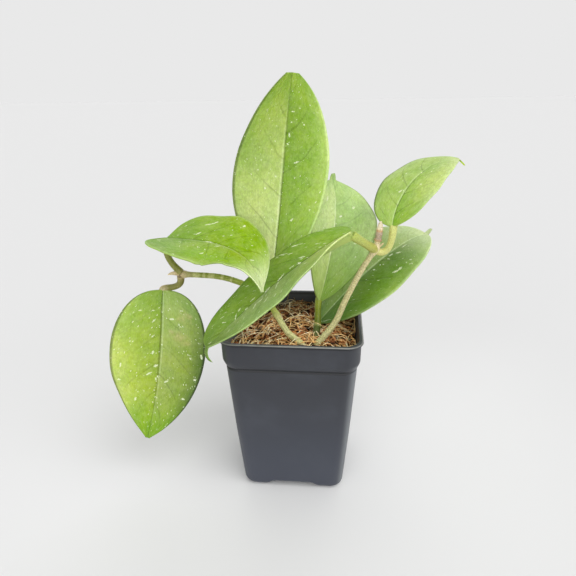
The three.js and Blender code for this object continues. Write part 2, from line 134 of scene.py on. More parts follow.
# The midrib is a Bezier curve on the upper face. The face is the way that the upper side looks, at the base
# and at the tip. Half widths are those of the left and the right half. Each half rises from the midrib by the
# fold, and turns on by the curl until its margin. Scallops are the bulges and hollows of a margin: the half
# that it is on, its place along the blade, its spread, and how far it moves out.
leaves = {
    "tall": {
        "midrib": [(-13, 2.5, 124.5), (-7, 8.5, 165), (-6, 11, 200), (-0.4, 7.5, 231.5)],
        "face": [(-0.4, -0.9, 0.15), (0.6, -0.75, 0.3)],
        "half_width": (27, 25), "widest_at": 0.48, "base_fullness": 0.55, "tip_fullness": (0.62, 0.63),
        "fold": 20, "curl": (-3, -6), "wave": 0.5, "tip": (4.2, 3.6),
        "petiole": {"from": (-17.8, -9, 116.5), "leaving": (1.5, 6, 1), "arriving": (4, 0), "radius": 1.9},
    },
    "front": {
        "midrib": [(30.3, -24, 158.3), (7, -20.5, 145), (-20.5, -28.5, 120), (-38.5, -55.5, 108.5)],
        "face": [(-0.35, -0.05, 0.95), (-0.4, -0.4, 0.8)],
        "half_width": (26.5, 18), "widest_at": 0.34, "base_fullness": 0.6, "tip_fullness": (0.65, 0.5),
        "fold": 12, "curl": (5, 1), "wave": 0.4, "tip": (0.9, 0.9),
        "drip_tip": [(-39.8, -59.5, 105), (-36.7, -55.5, 99.3)],
        "petiole": {"from": (43.5, -10, 144.5), "leaving": (-4.5, -4.5, 4), "arriving": (1, 2.2),
                    "radius": 2.3},
    },
    "left": {
        "midrib": [(-67.5, -12, 150.5), (-35, -20.5, 151.5), (-18, -28, 150.5), (-11.5, -47, 134.5)],
        "face": [(-0.1, 0, 1), (0.65, -0.75, 0.2)],
        "half_width": (23.5, 30.5), "widest_at": 0.17, "base_fullness": 0.2, "tip_fullness": (1.2, 1.2),
        "fold": 10, "curl": (4, 6.5), "wave": 0.6, "tip": (0.8, 0.8),
        "scallops": [(1, 0.13, 0.06, -1.9), (1, 0.39, 0.08, -2.7), (1, 0.575, 0.03, 2.4),
                     (1, 0.65, 0.05, -3.2), (1, 0.78, 0.1, -2.2)],
        "petiole": {"from": (-62.3, -10, 129.7), "leaving": (-7.5, -0.5, 7), "arriving": (4, 5),
                    "radius": 1.9, "seat": 0.5},
    },
    "hanging": {
        "midrib": [(-73.5, -11.5, 119.5), (-74, -21, 94.5), (-76, -26, 65), (-86.5, -30, 31.5)],
        "face": [(0.4, -0.9, 0.25), (0.05, -1, 0.15)],
        "half_width": (25.5, 27.5), "widest_at": 0.42, "base_fullness": 0.42, "tip_fullness": (0.87, 0.87),
        "fold": 11, "curl": (-13, -4), "wave": 0.5, "tip": (1.3, 1.3),
        "petiole": {"from": (-63, -10, 127.4), "leaving": (1, 1, -9.5), "arriving": (3, 0), "radius": 1.9},
    },
    "upper": {
        "midrib": [(51.5, -12, 158), (54, -1, 175.5), (72, 12, 189.5), (87, 14, 188)],
        "face": [(-0.5, -0.65, 0.6), (-0.45, -0.2, 0.85)],
        "half_width": (19.5, 18.5), "widest_at": 0.44, "base_fullness": 0.55, "tip_fullness": (0.85, 0.7),
        "fold": 8, "curl": (-25, -8), "wave": 0.3, "tip": (1.25, 1.25),
        "drip_tip": [(88.6, 14.5, 186.7), (91, 15, 184.5)],
        "petiole": {"from": (44.2, -9.8, 143.8), "leaving": (8, 1, -4), "arriving": (5, 0), "radius": 1.9},
    },
    "back": {
        "midrib": [(14.5, 5.5, 108), (23.5, 12.5, 144.5), (24.5, 18, 161), (20.5, 29, 174)],
        "face": [(0.5, -0.85, 0.1), (0.6, -0.65, 0.5)],
        "half_width": (21, 27), "widest_at": 0.52, "base_fullness": 0.7, "tip_fullness": (0.78, 0.82),
        "fold": 14, "curl": (10, -11), "wave": 0.5, "tip": (2, 2),
        "drip_tip": [(20.8, 30.2, 175.7), (20.8, 30, 177.4)],
        "petiole": {"from": (13.3, -1.8, 95.5), "leaving": (0.1, 0.8, 4.5), "arriving": (4, 0),
                    "radius": 1.9},
    },
    "low": {
        "midrib": [(13.5, 8.5, 92.5), (41.5, 19.5, 123), (62.5, 29, 139), (77.5, 37.5, 140)],
        "face": [(-0.55, -0.6, 0.55), (-0.8, -0.5, 0.35)],
        "half_width": (25, 27), "widest_at": 0.41, "base_fullness": 0.74, "tip_fullness": (0.5, 0.68),
        "fold": 8.5, "curl": (-8.5, -1), "wave": 0.4, "tip": (1.4, 1.4),
        "drip_tip": [(79.3, 39.8, 141.2), (81, 42, 142.2)],
        "petiole": {"from": (12.9, -4.8, 93.7), "leaving": (0, 4, -3.5), "arriving": (2, 0), "radius": 1.7},
    },
}


# Nodes: a node is made with its inputs filled in or joined up, and the small helpers return an output socket

def add_node(tree, kind, inputs=None, **settings):
    made = tree.nodes.new("ShaderNode" + kind)
    for name, value in settings.items():
        setattr(made, name, value)
    for socket, value in (inputs or {}).items():
        if isinstance(value, bpy.types.NodeSocket):
            tree.links.new(value, made.inputs[socket])
        else:
            made.inputs[socket].default_value = value
    return made


def compute(tree, operation, first, second=0.0, third=0.0):
    inputs = {0: first, 1: second, 2: third}
    return add_node(tree, "Math", inputs, operation=operation).outputs[0]


def times(tree, first, second):
    return compute(tree, "MULTIPLY", first, second)


def off_from(tree, value, middle):
    """How far a value is from a middle one, to either side."""
    return compute(tree, "ABSOLUTE", compute(tree, "SUBTRACT", value, middle))


def vector_of(tree, x, y, z=0.0):
    return add_node(tree, "CombineXYZ", {"X": x, "Y": y, "Z": z}).outputs[0]


def vector_math(tree, operation, first, second=(0.0, 0.0, 0.0)):
    return add_node(tree, "VectorMath", {0: first, 1: second}, operation=operation).outputs


def own_space(tree, label, axis):
    """One part of a coordinate of the piece, such as its height."""
    place = add_node(tree, "TexCoord").outputs[label]
    return add_node(tree, "SeparateXYZ", {"Vector": place}).outputs[axis]


def fade(tree, value, start, end, low=0.0, high=1.0):
    """A smooth step from low at start to high at end."""
    inputs = {"Value": value, "From Min": start, "From Max": end, "To Min": low, "To Max": high}
    return add_node(tree, "MapRange", inputs, interpolation_type="SMOOTHSTEP").outputs[0]


def blend_colours(tree, share, first, second):
    """Blends two colours. Each is a socket, or three numbers as they show on a screen."""
    first, second = (colour(*shade) if isinstance(shade, tuple) else shade for shade in (first, second))
    return add_node(tree, "Mix", {0: share, 6: first, 7: second}, data_type="RGBA").outputs[2]


def retint(tree, shade, **changes):
    """A colour with its Hue, Saturation or Value changed."""
    return add_node(tree, "HueSaturation", {"Color": shade, **changes}).outputs[0]


def attribute(tree, name):
    return add_node(tree, "Attribute", attribute_name=name).outputs["Fac"]


def speckle(tree, scale, detail=3.0, roughness=0.6, vector=None):
    inputs = {"Scale": scale, "Detail": detail, "Roughness": roughness}
    inputs["Vector"] = vector or add_node(tree, "TexCoord").outputs["Object"]
    return add_node(tree, "TexNoise", inputs).outputs["Fac"]


def ramp(tree, value, stops):
    """A colour that follows a value through stops, each of them a place from 0 to 1 and a colour."""
    made = add_node(tree, "ValToRGB", {"Fac": value})
    elements = made.color_ramp.elements
    while len(elements) > 1:
        elements.remove(elements[-1])
    for number, (place, shade) in enumerate(stops):
        element = elements[0] if number == 0 else elements.new(place)
        element.position = place
        element.color = colour(*shade)
    return made.outputs["Color"]


def colour(red, green, blue):
    """A colour given as it shows on a screen, from 0 to 255, made linear."""
    shares = [value / 255 for value in (red, green, blue)]
    return tuple(s / 12.92 if s <= 0.04045 else ((s + 0.055) / 1.055) ** 2.4 for s in shares) + (1.0,)


def new_group(name, inputs):
    """A shader node group and its input sockets, given as names with their first value."""
    group = bpy.data.node_groups.new(name, "ShaderNodeTree")
    for label, value in inputs.items():
        kind = "NodeSocketVector" if isinstance(value, tuple) else "NodeSocketFloat"
        socket = group.interface.new_socket(label, in_out="INPUT", socket_type=kind)
        socket.default_value = value
    return group, group.nodes.new("NodeGroupInput").outputs


def finish_group(group, **results):
    """Gives a group an output socket for each result."""
    for label in results:
        group.interface.new_socket(label, in_out="OUTPUT", socket_type="NodeSocketFloat")
    outputs = group.nodes.new("NodeGroupOutput").inputs
    for label, value in results.items():
        group.links.new(value, outputs[label])
    return group


def use_group(tree, group, **inputs):
    """A group's outputs in a tree. The input lit_side is the socket Lit side."""
    labels = {label.replace("_", " ").capitalize(): value for label, value in inputs.items()}
    return add_node(tree, "Group", labels, node_tree=group).outputs


def new_material(name, **settings):
    """A material with its Principled shader, with the plain settings put on the shader's own sockets."""
    material = bpy.data.materials.new(name)
    material.use_nodes = True
    shader = material.node_tree.nodes["Principled BSDF"]
    for label, value in settings.items():
        shader.inputs[label.replace("_", " ").title().replace("Ior", "IOR")].default_value = value
    return material, material.node_tree, shader


def give(tree, shader, base, rough=None, height=None, depth=0.0):
    """Joins a colour to a shader, and a roughness and a bump where they are given."""
    tree.links.new(base, shader.inputs["Base Color"])
    if rough is not None:
        tree.links.new(rough, shader.inputs["Roughness"])
    if height is not None:
        bump = add_node(tree, "Bump", {"Height": height, "Strength": 1.0, "Distance": depth})
        tree.links.new(bump.outputs["Normal"], shader.inputs["Normal"])


# Effects shared by several materials

def make_vein_group():
    """The painted shade of the midrib's groove and the painted highlight on its lit side, and the lateral
    veins, which leave it at a slant.
    """
    group, given = new_group("leaf veins", {"Across": 0.0, "Along": 0.0, "Lit side": 1.0})
    reach = compute(group, "ABSOLUTE", given["Across"])
    lag = times(group, compute(group, "POWER", reach, vein_bend), vein_slant)
    row = compute(group, "SUBTRACT", given["Along"], lag)
    sway = times(group, speckle(group, 60.0, 1.0), 0.05)
    phase = times(group, compute(group, "ADD", row, sway), veins_per_half)
    right_half = compute(group, "GREATER_THAN", given["Across"], 0.0)
    phase = compute(group, "MULTIPLY_ADD", right_half, right_half_shift, phase)
    off_middle = off_from(group, compute(group, "FRACT", phase), 0.5)
    veins = times(group, fade(group, off_middle, 0.452, 0.486), fade(group, reach, 0.9, 0.55))
    veins = times(group, veins, fade(group, given["Along"], 0.02, 0.12))
    veins = times(group, veins, fade(group, speckle(group, 45.0, 1.0), 0.35, 0.6, 0.4, 1.0))
    lit = times(group, given["Across"], given["Lit side"])
    taper = fade(group, given["Along"], 1.0, 0.3, 0.35, 1.0)
    # Painted shade in the midrib's groove, and a painted highlight on its lit side.
    groove_shade = times(group, fade(group, off_from(group, lit, -0.012), 0.028, 0.008), taper)
    crest_light = times(group, fade(group, off_from(group, lit, 0.03), 0.03, 0.008), taper)
    return finish_group(group, Groove=groove_shade, Crest=crest_light, Veins=veins, Row=row)


def make_fleck_group():
    """Silvery flecks: ragged spots that gather in clusters, with a few lone dots between them."""
    group, given = new_group("silver flecks", {
        "Across": 0.0, "Row": 0.0, "Width": 25.0, "Length": 100.0, "Streak": 1.0, "Clusters": 0.3,
        "Dots": 0.3, "Seed": 0.0})
    stretched = compute(group, "DIVIDE", times(group, given["Across"], given["Width"]), given["Streak"])
    lengthways = times(group, given["Row"], given["Length"])
    place = vector_of(group, stretched, lengthways, given["Seed"])

    def scattered(scale, channel):
        """How far a spot is from the middle of its cell, and the number that the cell drew."""
        cells = add_node(group, "TexVoronoi", {"Vector": place, "Scale": scale, "Randomness": 1.0}).outputs
        drawn = add_node(group, "SeparateColor", {"Color": cells["Color"]}).outputs[channel]
        return cells["Distance"], drawn

    off, drawn = scattered(0.17, "Red")
    chosen = compute(group, "SUBTRACT", given["Clusters"], drawn)
    gathered = times(group, fade(group, off, 0.42, 0.05), fade(group, chosen, 0.0, 0.25))
    ragged = speckle(group, 1.15, 2.0, 0.5, place)
    lift = compute(group, "ADD", times(group, gathered, 0.2), ragged)
    off, drawn = scattered(0.5, "Green")
    size = times(group, compute(group, "SUBTRACT", given["Dots"], drawn), 0.6)
    inside = compute(group, "SUBTRACT", compute(group, "MINIMUM", size, 0.2), off)
    dots = fade(group, inside, -0.03, 0.03)
    return finish_group(group, Flecks=compute(group, "MAXIMUM", fade(group, lift, 0.7, 0.75), dots))


def make_mark_group():
    """One mark on a blade: a dot, or a streak that tapers to both ends, between two places in millimetres."""
    nowhere = (0.0, 0.0, 0.0)
    group, given = new_group("leaf mark", {
        "Place": nowhere, "Start": nowhere, "End": nowhere, "Radius": 0.5, "Core": 0.4})
    ahead = vector_math(group, "SUBTRACT", given["Place"], given["Start"])[0]
    path = vector_math(group, "SUBTRACT", given["End"], given["Start"])[0]
    reached = vector_math(group, "DOT_PRODUCT", ahead, path)["Value"]
    whole = compute(group, "ADD", vector_math(group, "DOT_PRODUCT", path, path)["Value"], 0.01)
    share = compute(group, "MINIMUM", compute(group, "DIVIDE", reached, whole), 1.0)
    share = compute(group, "MAXIMUM", share, 0.0)
    nearest = add_node(group, "VectorMath", {0: path, "Scale": share}, operation="SCALE").outputs[0]
    off = vector_math(group, "LENGTH", vector_math(group, "SUBTRACT", ahead, nearest)[0])["Value"]
    from_middle = compute(group, "ABSOLUTE", compute(group, "MULTIPLY_ADD", share, 2.0, -1.0))
    stretched = compute(group, "DIVIDE", whole, compute(group, "ADD", whole, 1.0))
    narrowing = times(group, compute(group, "POWER", from_middle, 2.0), stretched)
    taper = compute(group, "MULTIPLY_ADD", narrowing, -0.75, 1.0)
    radii = compute(group, "DIVIDE", off, times(group, given["Radius"], taper))
    return finish_group(group, Mark=fade(group, radii, 1.25, given["Core"]))


def make_skin_group():
    """A leaf's mottled skin: soft patches, fine grain drawn out lengthways, and a faint net of veins."""
    group, given = new_group("leaf skin", {
        "Across": 0.0, "Along": 0.0, "Width": 25.0, "Length": 100.0, "Seed": 0.0})
    sideways = times(group, given["Across"], given["Width"])
    lengthways = times(group, given["Along"], given["Length"])
    place = vector_of(group, sideways, lengthways, given["Seed"])
    drawn_out = vector_of(group, sideways, times(group, lengthways, 0.45), given["Seed"])
    patches = speckle(group, 0.075, 3.0, 0.6, place)
    grain = speckle(group, 1.5, 4.0, 0.7, drawn_out)
    blotches = speckle(group, 0.3, 2.5, 0.6, place)
    cells = add_node(group, "TexVoronoi", {"Vector": place, "Scale": 0.33}, feature="DISTANCE_TO_EDGE")
    net = fade(group, cells.outputs[0], 0.0, 0.12)
    value = compute(group, "MULTIPLY_ADD", net, 0.03, 0.98)
    for mottling, strength in ((patches, 0.06), (grain, 0.15), (blotches, 0.03)):
        value = compute(group, "ADD", value, fade(group, mottling, 0.3, 0.7, -strength, strength))
    hue = fade(group, patches, 0.3, 0.7, 0.507, 0.493)
    saturation = fade(group, blotches, 0.3, 0.7, 1.06, 0.95)
    embossed = compute(group, "MULTIPLY_ADD", net, 0.25, times(group, blotches, 1.6))
    relief = compute(group, "MULTIPLY_ADD", grain, 0.6, embossed)
    return finish_group(group, Hue=hue, Saturation=saturation, Value=value, Relief=relief)


def make_grain_group():
    """Fine and coarse mottling, each from 0 to 1, in the piece's own space."""
    group, given = new_group("mottled grain", {"Fine": 900.0, "Coarse": 120.0})
    return finish_group(group, Fine=speckle(group, given["Fine"]), Coarse=speckle(group, given["Coarse"]))


vein_group = make_vein_group()
fleck_group = make_fleck_group()
mark_group = make_mark_group()
grain_group = make_grain_group()
skin_group = make_skin_group()


# Materials

def leaf_material(name, width, length, halves, base, tip, under, marks, under_base=(176, 190, 92), blush=(),
                  lit_side=1.0, rim_tone_and_light=(0.6, 0.6), base_end=0.45, tip_start=0.75, drip=(), vein_depth=0.6,
                  groove_shade=0.85, crest_light=0.5, rim_start=0.93, shine=0.34, clusters=0.3, dots=0.2, streak=1.0,
                  seed=0.0):
    """Halves holds the colours from the left margin to the right one, base those of both halves' lower ends,
    and drip those of the drip tip. Halves and base are partly painted light and shade: a lit half, a shaded
    half, and darker green where a blade curls away. Marks are the silver splashes, and blush the reddish
    patches: a place across and along the blade, or two for a streak, and a radius. A rim above 0 darkens the
    margin, partly its own colour and partly painted shade; a rim below 0 is a painted highlight."""
    material, tree, shader = new_material(
        f"waxy {name} leaf", roughness=0.42, specular_ior_level=shine, subsurface_weight=0.1,
        subsurface_scale=0.003, subsurface_radius=(0.6, 1.0, 0.25), coat_weight=shine / 8, coat_roughness=0.3)
    across, along, lower = (attribute(tree, word) for word in ("across", "along", "under"))
    reach = compute(tree, "ABSOLUTE", across)
    measures = {"across": across, "width": width, "length": length, "seed": seed}
    lines = use_group(tree, vein_group, across=across, along=along, lit_side=lit_side)
    flecks = use_group(tree, fleck_group, row=lines["Row"], streak=streak, clusters=clusters, dots=dots,
                       **measures)["Flecks"]
    skin = use_group(tree, skin_group, along=along, **measures)
    flat = vector_of(tree, times(tree, across, width), times(tree, along, length))
    frayed = compute(tree, "MULTIPLY_ADD", speckle(tree, 1.3, 2.0, 0.6, flat), 1.6, -0.8)
    sway = compute(tree, "MULTIPLY_ADD", speckle(tree, 1.1, 1.0, 0.6, flat), -1.2, 0.6)
    place = vector_math(tree, "ADD", flat, vector_of(tree, frayed, sway))[0]

    def painted(spots, growth, core):
        """How far the given marks cover a spot of the blade."""
        share = 0.0
        for *places, radius in spots:
            start, end = ((places[i] * width, places[i + 1] * length, 0.0) for i in (0, len(places) - 2))
            mark = use_group(tree, mark_group, place=place, start=start, end=end, radius=radius * growth,
                             core=core)["Mark"]
            share = compute(tree, "MAXIMUM", share, mark)
        return share

    def tinted(shade, share, value, saturation):
        return blend_colours(tree, share, shade, retint(tree, shade, Value=value, Saturation=saturation))

    # Painted light and shade: the colours across the blade and at its lower end give one half lit and the
    # other shaded, on top of the leaf's own green.
    shade = ramp(tree, compute(tree, "MULTIPLY_ADD", across, 0.5, 0.5), zip(colour_places, halves))
    lower_end = blend_colours(tree, fade(tree, across, -0.03, 0.03), *base)
    shade = blend_colours(tree, fade(tree, along, base_end, 0.0, 0.0, 0.85), shade, lower_end)
    shade = blend_colours(tree, fade(tree, along, tip_start, 1.0), shade, tip)
    if blush:
        cloudy = fade(tree, speckle(tree, 0.22, 2.0, 0.6, flat), 0.35, 0.62, 0.15, 0.6)
        shade = blend_colours(tree, times(tree, painted(blush, 1.5, -0.5), cloudy), shade, blush_colour)
    shade = retint(tree, shade, Hue=skin["Hue"], Saturation=skin["Saturation"], Value=skin["Value"])
    shade = tinted(shade, times(tree, lines["Veins"], vein_depth), 0.66, 1.05)
    # Painted shade and highlight at the midrib.
    shade = tinted(shade, times(tree, lines["Groove"], groove_shade), 0.5, 1.05)
    shade = tinted(shade, times(tree, lines["Crest"], crest_light), 1.4, 0.7)
    edge = times(tree, fade(tree, reach, rim_start, 0.97), fade(tree, along, 1.01, 0.99))
    # Painted shade and highlight along the rims: a rim above 0 darkens the margin, partly its own colour and
    # partly painted shade, and one below 0 is a painted highlight.
    for sign, strength in zip((-1.0, 1.0), rim_tone_and_light):
        this_side = fade(tree, times(tree, across, sign), 0.0, 0.1)
        rim = times(tree, times(tree, edge, this_side), abs(strength))
        value, saturation = (0.4, 1.0) if strength > 0 else (1.5, 0.7)
        shade = tinted(shade, rim, value, saturation)
    broken = fade(tree, speckle(tree, 1.9, 2.0, 0.6, flat), 0.36, 0.52, 0.3, 1.0)
    silver = compute(tree, "MAXIMUM", flecks, times(tree, painted(marks, 0.95, 0.45), broken))
    shade = blend_colours(tree, times(tree, silver, 0.9), shade, silver_colour)
    below = blend_colours(tree, fade(tree, along, 0.35, 0.05), under, under_base)
    shade = blend_colours(tree, lower, shade, below)
    if drip:
        drip_shade = blend_colours(tree, fade(tree, along, 1.01, 1.05), *drip)
        shade = blend_colours(tree, fade(tree, along, 1.0, 1.01), shade, drip_shade)
    relief = compute(tree, "ADD", skin["Relief"], times(tree, lines["Veins"], -0.6))
    rough = fade(tree, skin["Value"], 0.85, 1.15, 0.48, 0.36)
    give(tree, shader, shade, rough, relief, 0.0002)
    return material


def stalk_material(name, stops, streaks, spots, spot_share=0.5, rough=0.5, grain_depth=1.0, dashes=()):
    """A stem's or petiole's bark: colours that follow it, with streaks that lie along it and pale spots.
    Dashes are cream scars, each with its place along the stem and its half length."""
    material, tree, shader = new_material(
        f"{name} bark", roughness=rough, subsurface_weight=0.05, subsurface_scale=0.002,
        subsurface_radius=(0.8, 0.9, 0.3))
    along, around = attribute(tree, "along"), attribute(tree, "around")
    grain = use_group(tree, grain_group, fine=1500.0, coarse=420.0)
    place = vector_of(tree, times(tree, around, 9.0), times(tree, along, 34.0))
    streaked = speckle(tree, 1.0, 4.0, 0.6, place)
    shade = ramp(tree, along, stops)
    shade = blend_colours(tree, fade(tree, streaked, 0.5, 0.66, 0.0, 0.8), shade, streaks)
    shade = blend_colours(tree, fade(tree, grain["Coarse"], 0.6, 0.7, 0.0, spot_share), shade, spots)
    for middle, half in dashes:
        scar = fade(tree, off_from(tree, along, middle), half * 1.3, half * 0.7)
        scar = times(tree, scar, fade(tree, streaked, 0.38, 0.5))
        shade = blend_colours(tree, times(tree, scar, 0.5), shade, (222, 218, 158))
    value = fade(tree, grain["Fine"], 0.3, 0.7, 1 - 0.28 * grain_depth, 1 + 0.2 * grain_depth)
    give(tree, shader, retint(tree, shade, Value=value), None, grain["Fine"], 0.0004 * grain_depth)
    return material


def plastic_material():
    """Dark moulded plastic, with painted light and shade: a painted highlight as a thin pale line on its lip,
    painted shade under the lip and below the collar, and painted light on faces that look along +x, most on
    the inner wall.
    """
    material, tree, shader = new_material(
        "dark moulded plastic", roughness=0.46, specular_ior_level=0.4, coat_weight=0.03, coat_roughness=0.3)
    grain = use_group(tree, grain_group, fine=2600.0, coarse=38.0)
    height = own_space(tree, "Object", "Z")
    facing = own_space(tree, "Normal", "X")
    shade = blend_colours(tree, fade(tree, height, 0.0, 0.085), (63, 67, 78), (50, 52, 58))
    worn = fade(tree, grain["Coarse"], 0.45, 0.75, 0.0, 0.3)
    shade = blend_colours(tree, worn, shade, (76, 80, 88))
    # Painted shade: dark bands in the crease below the collar and under the lip, where shade falls.
    for middle, reach, depth in ((crease_level, 1.6, 0.75), (pot_height - 1.25, 1.0, 0.8)):
        off = off_from(tree, height, middle / 1000)
        dark = fade(tree, off, reach / 1000, reach / 3000, 0.0, depth)
        shade = blend_colours(tree, dark, shade, (20, 21, 23))
    # Painted light: faces that look along +x are painted lighter, where the light falls on them.
    shade = blend_colours(tree, fade(tree, facing, 0.1, 0.8, 0.0, 0.35), shade, (72, 75, 80))
    # The distance from the middle of a corner's rounding tells how near a spot is to the lip's outer edge
    place = add_node(tree, "TexCoord").outputs["Object"]
    straight = lip_half * (1 - corner_share) / 1000
    past = vector_math(tree, "SUBTRACT", place, (*pot_centre.xy, 0.0))[0]
    past = vector_math(tree, "ABSOLUTE", past)[0]
    past = vector_math(tree, "SUBTRACT", past, (straight, straight, 1.0))[0]
    outward = vector_math(tree, "LENGTH", vector_math(tree, "MAXIMUM", past)[0])["Value"]

    def near_edge(start, end):
        return fade(tree, outward, *((lip_half * corner_share - depth) / 1000 for depth in (start, end)))

    # Painted light: the inner wall that looks along +x is painted lighter, as where light falls on it.
    inner = times(tree, near_edge(1.9, 2.2), fade(tree, facing, 0.4, 0.9, 0.0, 0.9))
    shade = blend_colours(tree, inner, shade, (112, 116, 120))
    # Painted highlight: a thin pale line along the top of the lip, where it catches the light.
    painted_lip_highlight = times(tree, near_edge(0.95, 0.6),
                fade(tree, height, (pot_height - 0.45) / 1000, (pot_height - 0.3) / 1000))
    painted_lip_highlight = times(tree, painted_lip_highlight, fade(tree, speckle(tree, 160.0), 0.3, 0.65, 0.4, 0.85))
    shade = blend_colours(tree, painted_lip_highlight, shade, (150, 150, 144))
    give(tree, shader, shade, fade(tree, grain["Coarse"], 0.3, 0.7, 0.4, 0.52), grain["Fine"], 0.00004)
    return material


def coir_material(name, dark, light):
    """Coir with painted shade: darker the deeper it lies in the mix, and towards the back wall, where the
    leaves shade it.
    """
    material, tree, shader = new_material(f"coir {name}", roughness=0.85, specular_ior_level=0.25)
    grain = use_group(tree, grain_group, fine=1100.0, coarse=190.0)
    shade = blend_colours(tree, fade(tree, grain["Coarse"], 0.4, 0.6), dark, light)
    back = own_space(tree, "Object", "Y")
    shadow = fade(tree, back, pot_centre.y + 0.002, pot_centre.y + 0.034, 1.0, 0.35)
    shadow = times(tree, shadow, fade(tree, attribute(tree, "lift"), -1.0, 2.0, 0.12, 1.25))
    value = times(tree, shadow, fade(tree, grain["Fine"], 0.3, 0.7, 0.6, 1.3))
    give(tree, shader, retint(tree, shade, Value=value), None, grain["Fine"], 0.0003)
    return material


# Pieces

def add_object(name, data):
    made = bpy.data.objects.new(name, data)
    scene.collection.objects.link(made)
    return made


def as_mesh(name, shape):
    """A shape's finished mesh."""
    mesh = bpy.data.meshes.new(name)
    shape.to_mesh(mesh)
    shape.free()
    return mesh


def add_piece(name, shape, material, nodes=(), sharp=40):
    """Moves a finished shape into the frame and hangs it on the root body, in place of its CAD nodes."""
    bmesh.ops.transform(shape, matrix=into_frame, verts=shape.verts)
    mesh = as_mesh(name, shape)
    mesh.materials.append(material)
    mesh.shade_smooth()
    mesh.set_sharp_from_angle(angle=math.radians(sharp))
    piece = add_object(name, mesh)
    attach(piece, "root")
    if nodes:
        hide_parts(*nodes)
    return piece


def verts_of(items):
    return [item for item in items if isinstance(item, bmesh.types.BMVert)]


def extrude_ring(shape, edges):
    """Extrudes a ring of edges. Returns the vertices and the edges of the new ring."""
    grown = bmesh.ops.extrude_edge_only(shape, edges=edges)["geom"]
    ring = verts_of(grown)
    edges = [item for item in grown if isinstance(item, bmesh.types.BMEdge)]
    return ring, [edge for edge in edges if all(vertex in ring for vertex in edge.verts)]


def lerp(start, end, share):
    return start + (end - start) * share


def bezier(points, share):
    """The point and the direction at a share of a Bezier curve."""
    points = [Vector(point) for point in points]
    while len(points) > 2:
        points = [a.lerp(b, share) for a, b in zip(points, points[1:])]
    return points[0].lerp(points[1], share), (points[1] - points[0]).normalized()


def bezier_route(points, steps):
    return [bezier(points, step / steps)[0] for step in range(steps + 1)]


def smooth_route(points, steps):
    """Points on a smooth curve through the given ones."""
    given = [Vector(point) for point in points]
    ends = [2 * given[0] - given[1]] + given + [2 * given[-1] - given[-2]]
    route = []
    for i in range(len(given) - 1):
        before, start, end, after = ends[i:i + 4]
        for step in range(steps):
            t = step / steps
            bend = (2 * before - 5 * start + 4 * end - after) * t * t
            twist = (3 * start - before - 3 * end + after) * t ** 3
            route.append((2 * start + (end - before) * t + bend + twist) / 2)
    return route + [given[-1]]


def tube(route, radius_at, sides=20):
    """A closed round tube along a route, made of one ring that is extruded from point to point."""
    shape = bmesh.new()
    along_layer, around_layer = (shape.verts.layers.float.new(word) for word in ("along", "around"))
    lengths = [0.0]
    for start, end in zip(route, route[1:]):
        lengths.append(lengths[-1] + (end - start).length)
    steps = [(end - start).normalized() for start, end in zip(route, route[1:])]
    turns = [(before + after).normalized() for before, after in zip(steps, steps[1:])]
    directions = [steps[0], *turns, steps[-1]]
    turn = Vector((0, 0, 1)).rotation_difference(directions[0]).to_matrix()
    for i, point in enumerate(route):
        if i:
            turn = directions[i - 1].rotation_difference(directions[i]).to_matrix() @ turn
        share = lengths[i] / lengths[-1]
        spot = Matrix.Translation(point) @ turn.to_4x4() @ Matrix.Scale(radius_at(share), 4)
        if i:
            made, edges = extrude_ring(shape, edges)
            bmesh.ops.transform(shape, matrix=spot @ before.inverted(), verts=made)
        else:
            bmesh.ops.create_circle(shape, cap_ends=True, segments=sides, radius=1, matrix=spot)
            made, edges = shape.verts[:], shape.edges[:]
        back = spot.inverted()
        for vertex in made:
            local = back @ vertex.co
            vertex[along_layer] = share
            # Both sides run from 0 to 1, so that the pattern has no seam
            vertex[around_layer] = abs(math.atan2(local.y, local.x)) / math.pi
        before = spot
    bmesh.ops.contextual_create(shape, geom=edges)
    return shape


# Leaf blades

def width_share(leaf, along, half):
    widest = leaf["widest_at"]
    if along < widest:
        return (1 - (1 - along / widest) ** 2) ** leaf["base_fullness"]
    return max(0.0, 1 - ((along - widest) / (1 - widest)) ** 2) ** leaf["tip_fullness"][half]


def scallop(leaf, along, half):
    """How far a margin's bulges and hollows move it out."""
    return sum(rise * math.exp(-(((along - place) / spread) ** 2))
               for side, place, spread, rise in leaf.get("scallops", ()) if side == half)


def midrib_frame(leaf, along):
    """A point on the midrib, its direction, the way that the upper face looks, and the way to the right."""
    point, tangent = bezier(leaf["midrib"], along)
    normal = Vector(leaf["face"][0]).normalized().lerp(Vector(leaf["face"][1]).normalized(), along)
    normal = (normal - tangent * normal.dot(tangent)).normalized()
    return point, tangent, normal, tangent.cross(normal)


def drip_tip_frame(leaf, share):
    point, _, _, side = midrib_frame(leaf, 1.0)
    spot, tangent = bezier([point, *leaf["drip_tip"]], share)
    side = (side - tangent * side.dot(tangent)).normalized()
    return spot, tangent, side.cross(tangent), side


def blade_relief(across, along):
    """How far the upper face dips at the midrib and at the lateral veins."""
    reach = abs(across)
    shift = right_half_shift if across > 0 else 0
    phase = (along - vein_slant * reach ** vein_bend) * veins_per_half + shift
    vein = max(0.0, 1 - abs(phase - round(phase)) / 0.07)
    vein *= min(1, max(0.0, 0.95 - reach) * 5) * min(1, along * 8)
    return 0.22 * math.exp(-((reach / 0.03) ** 2)) + 0.07 * vein


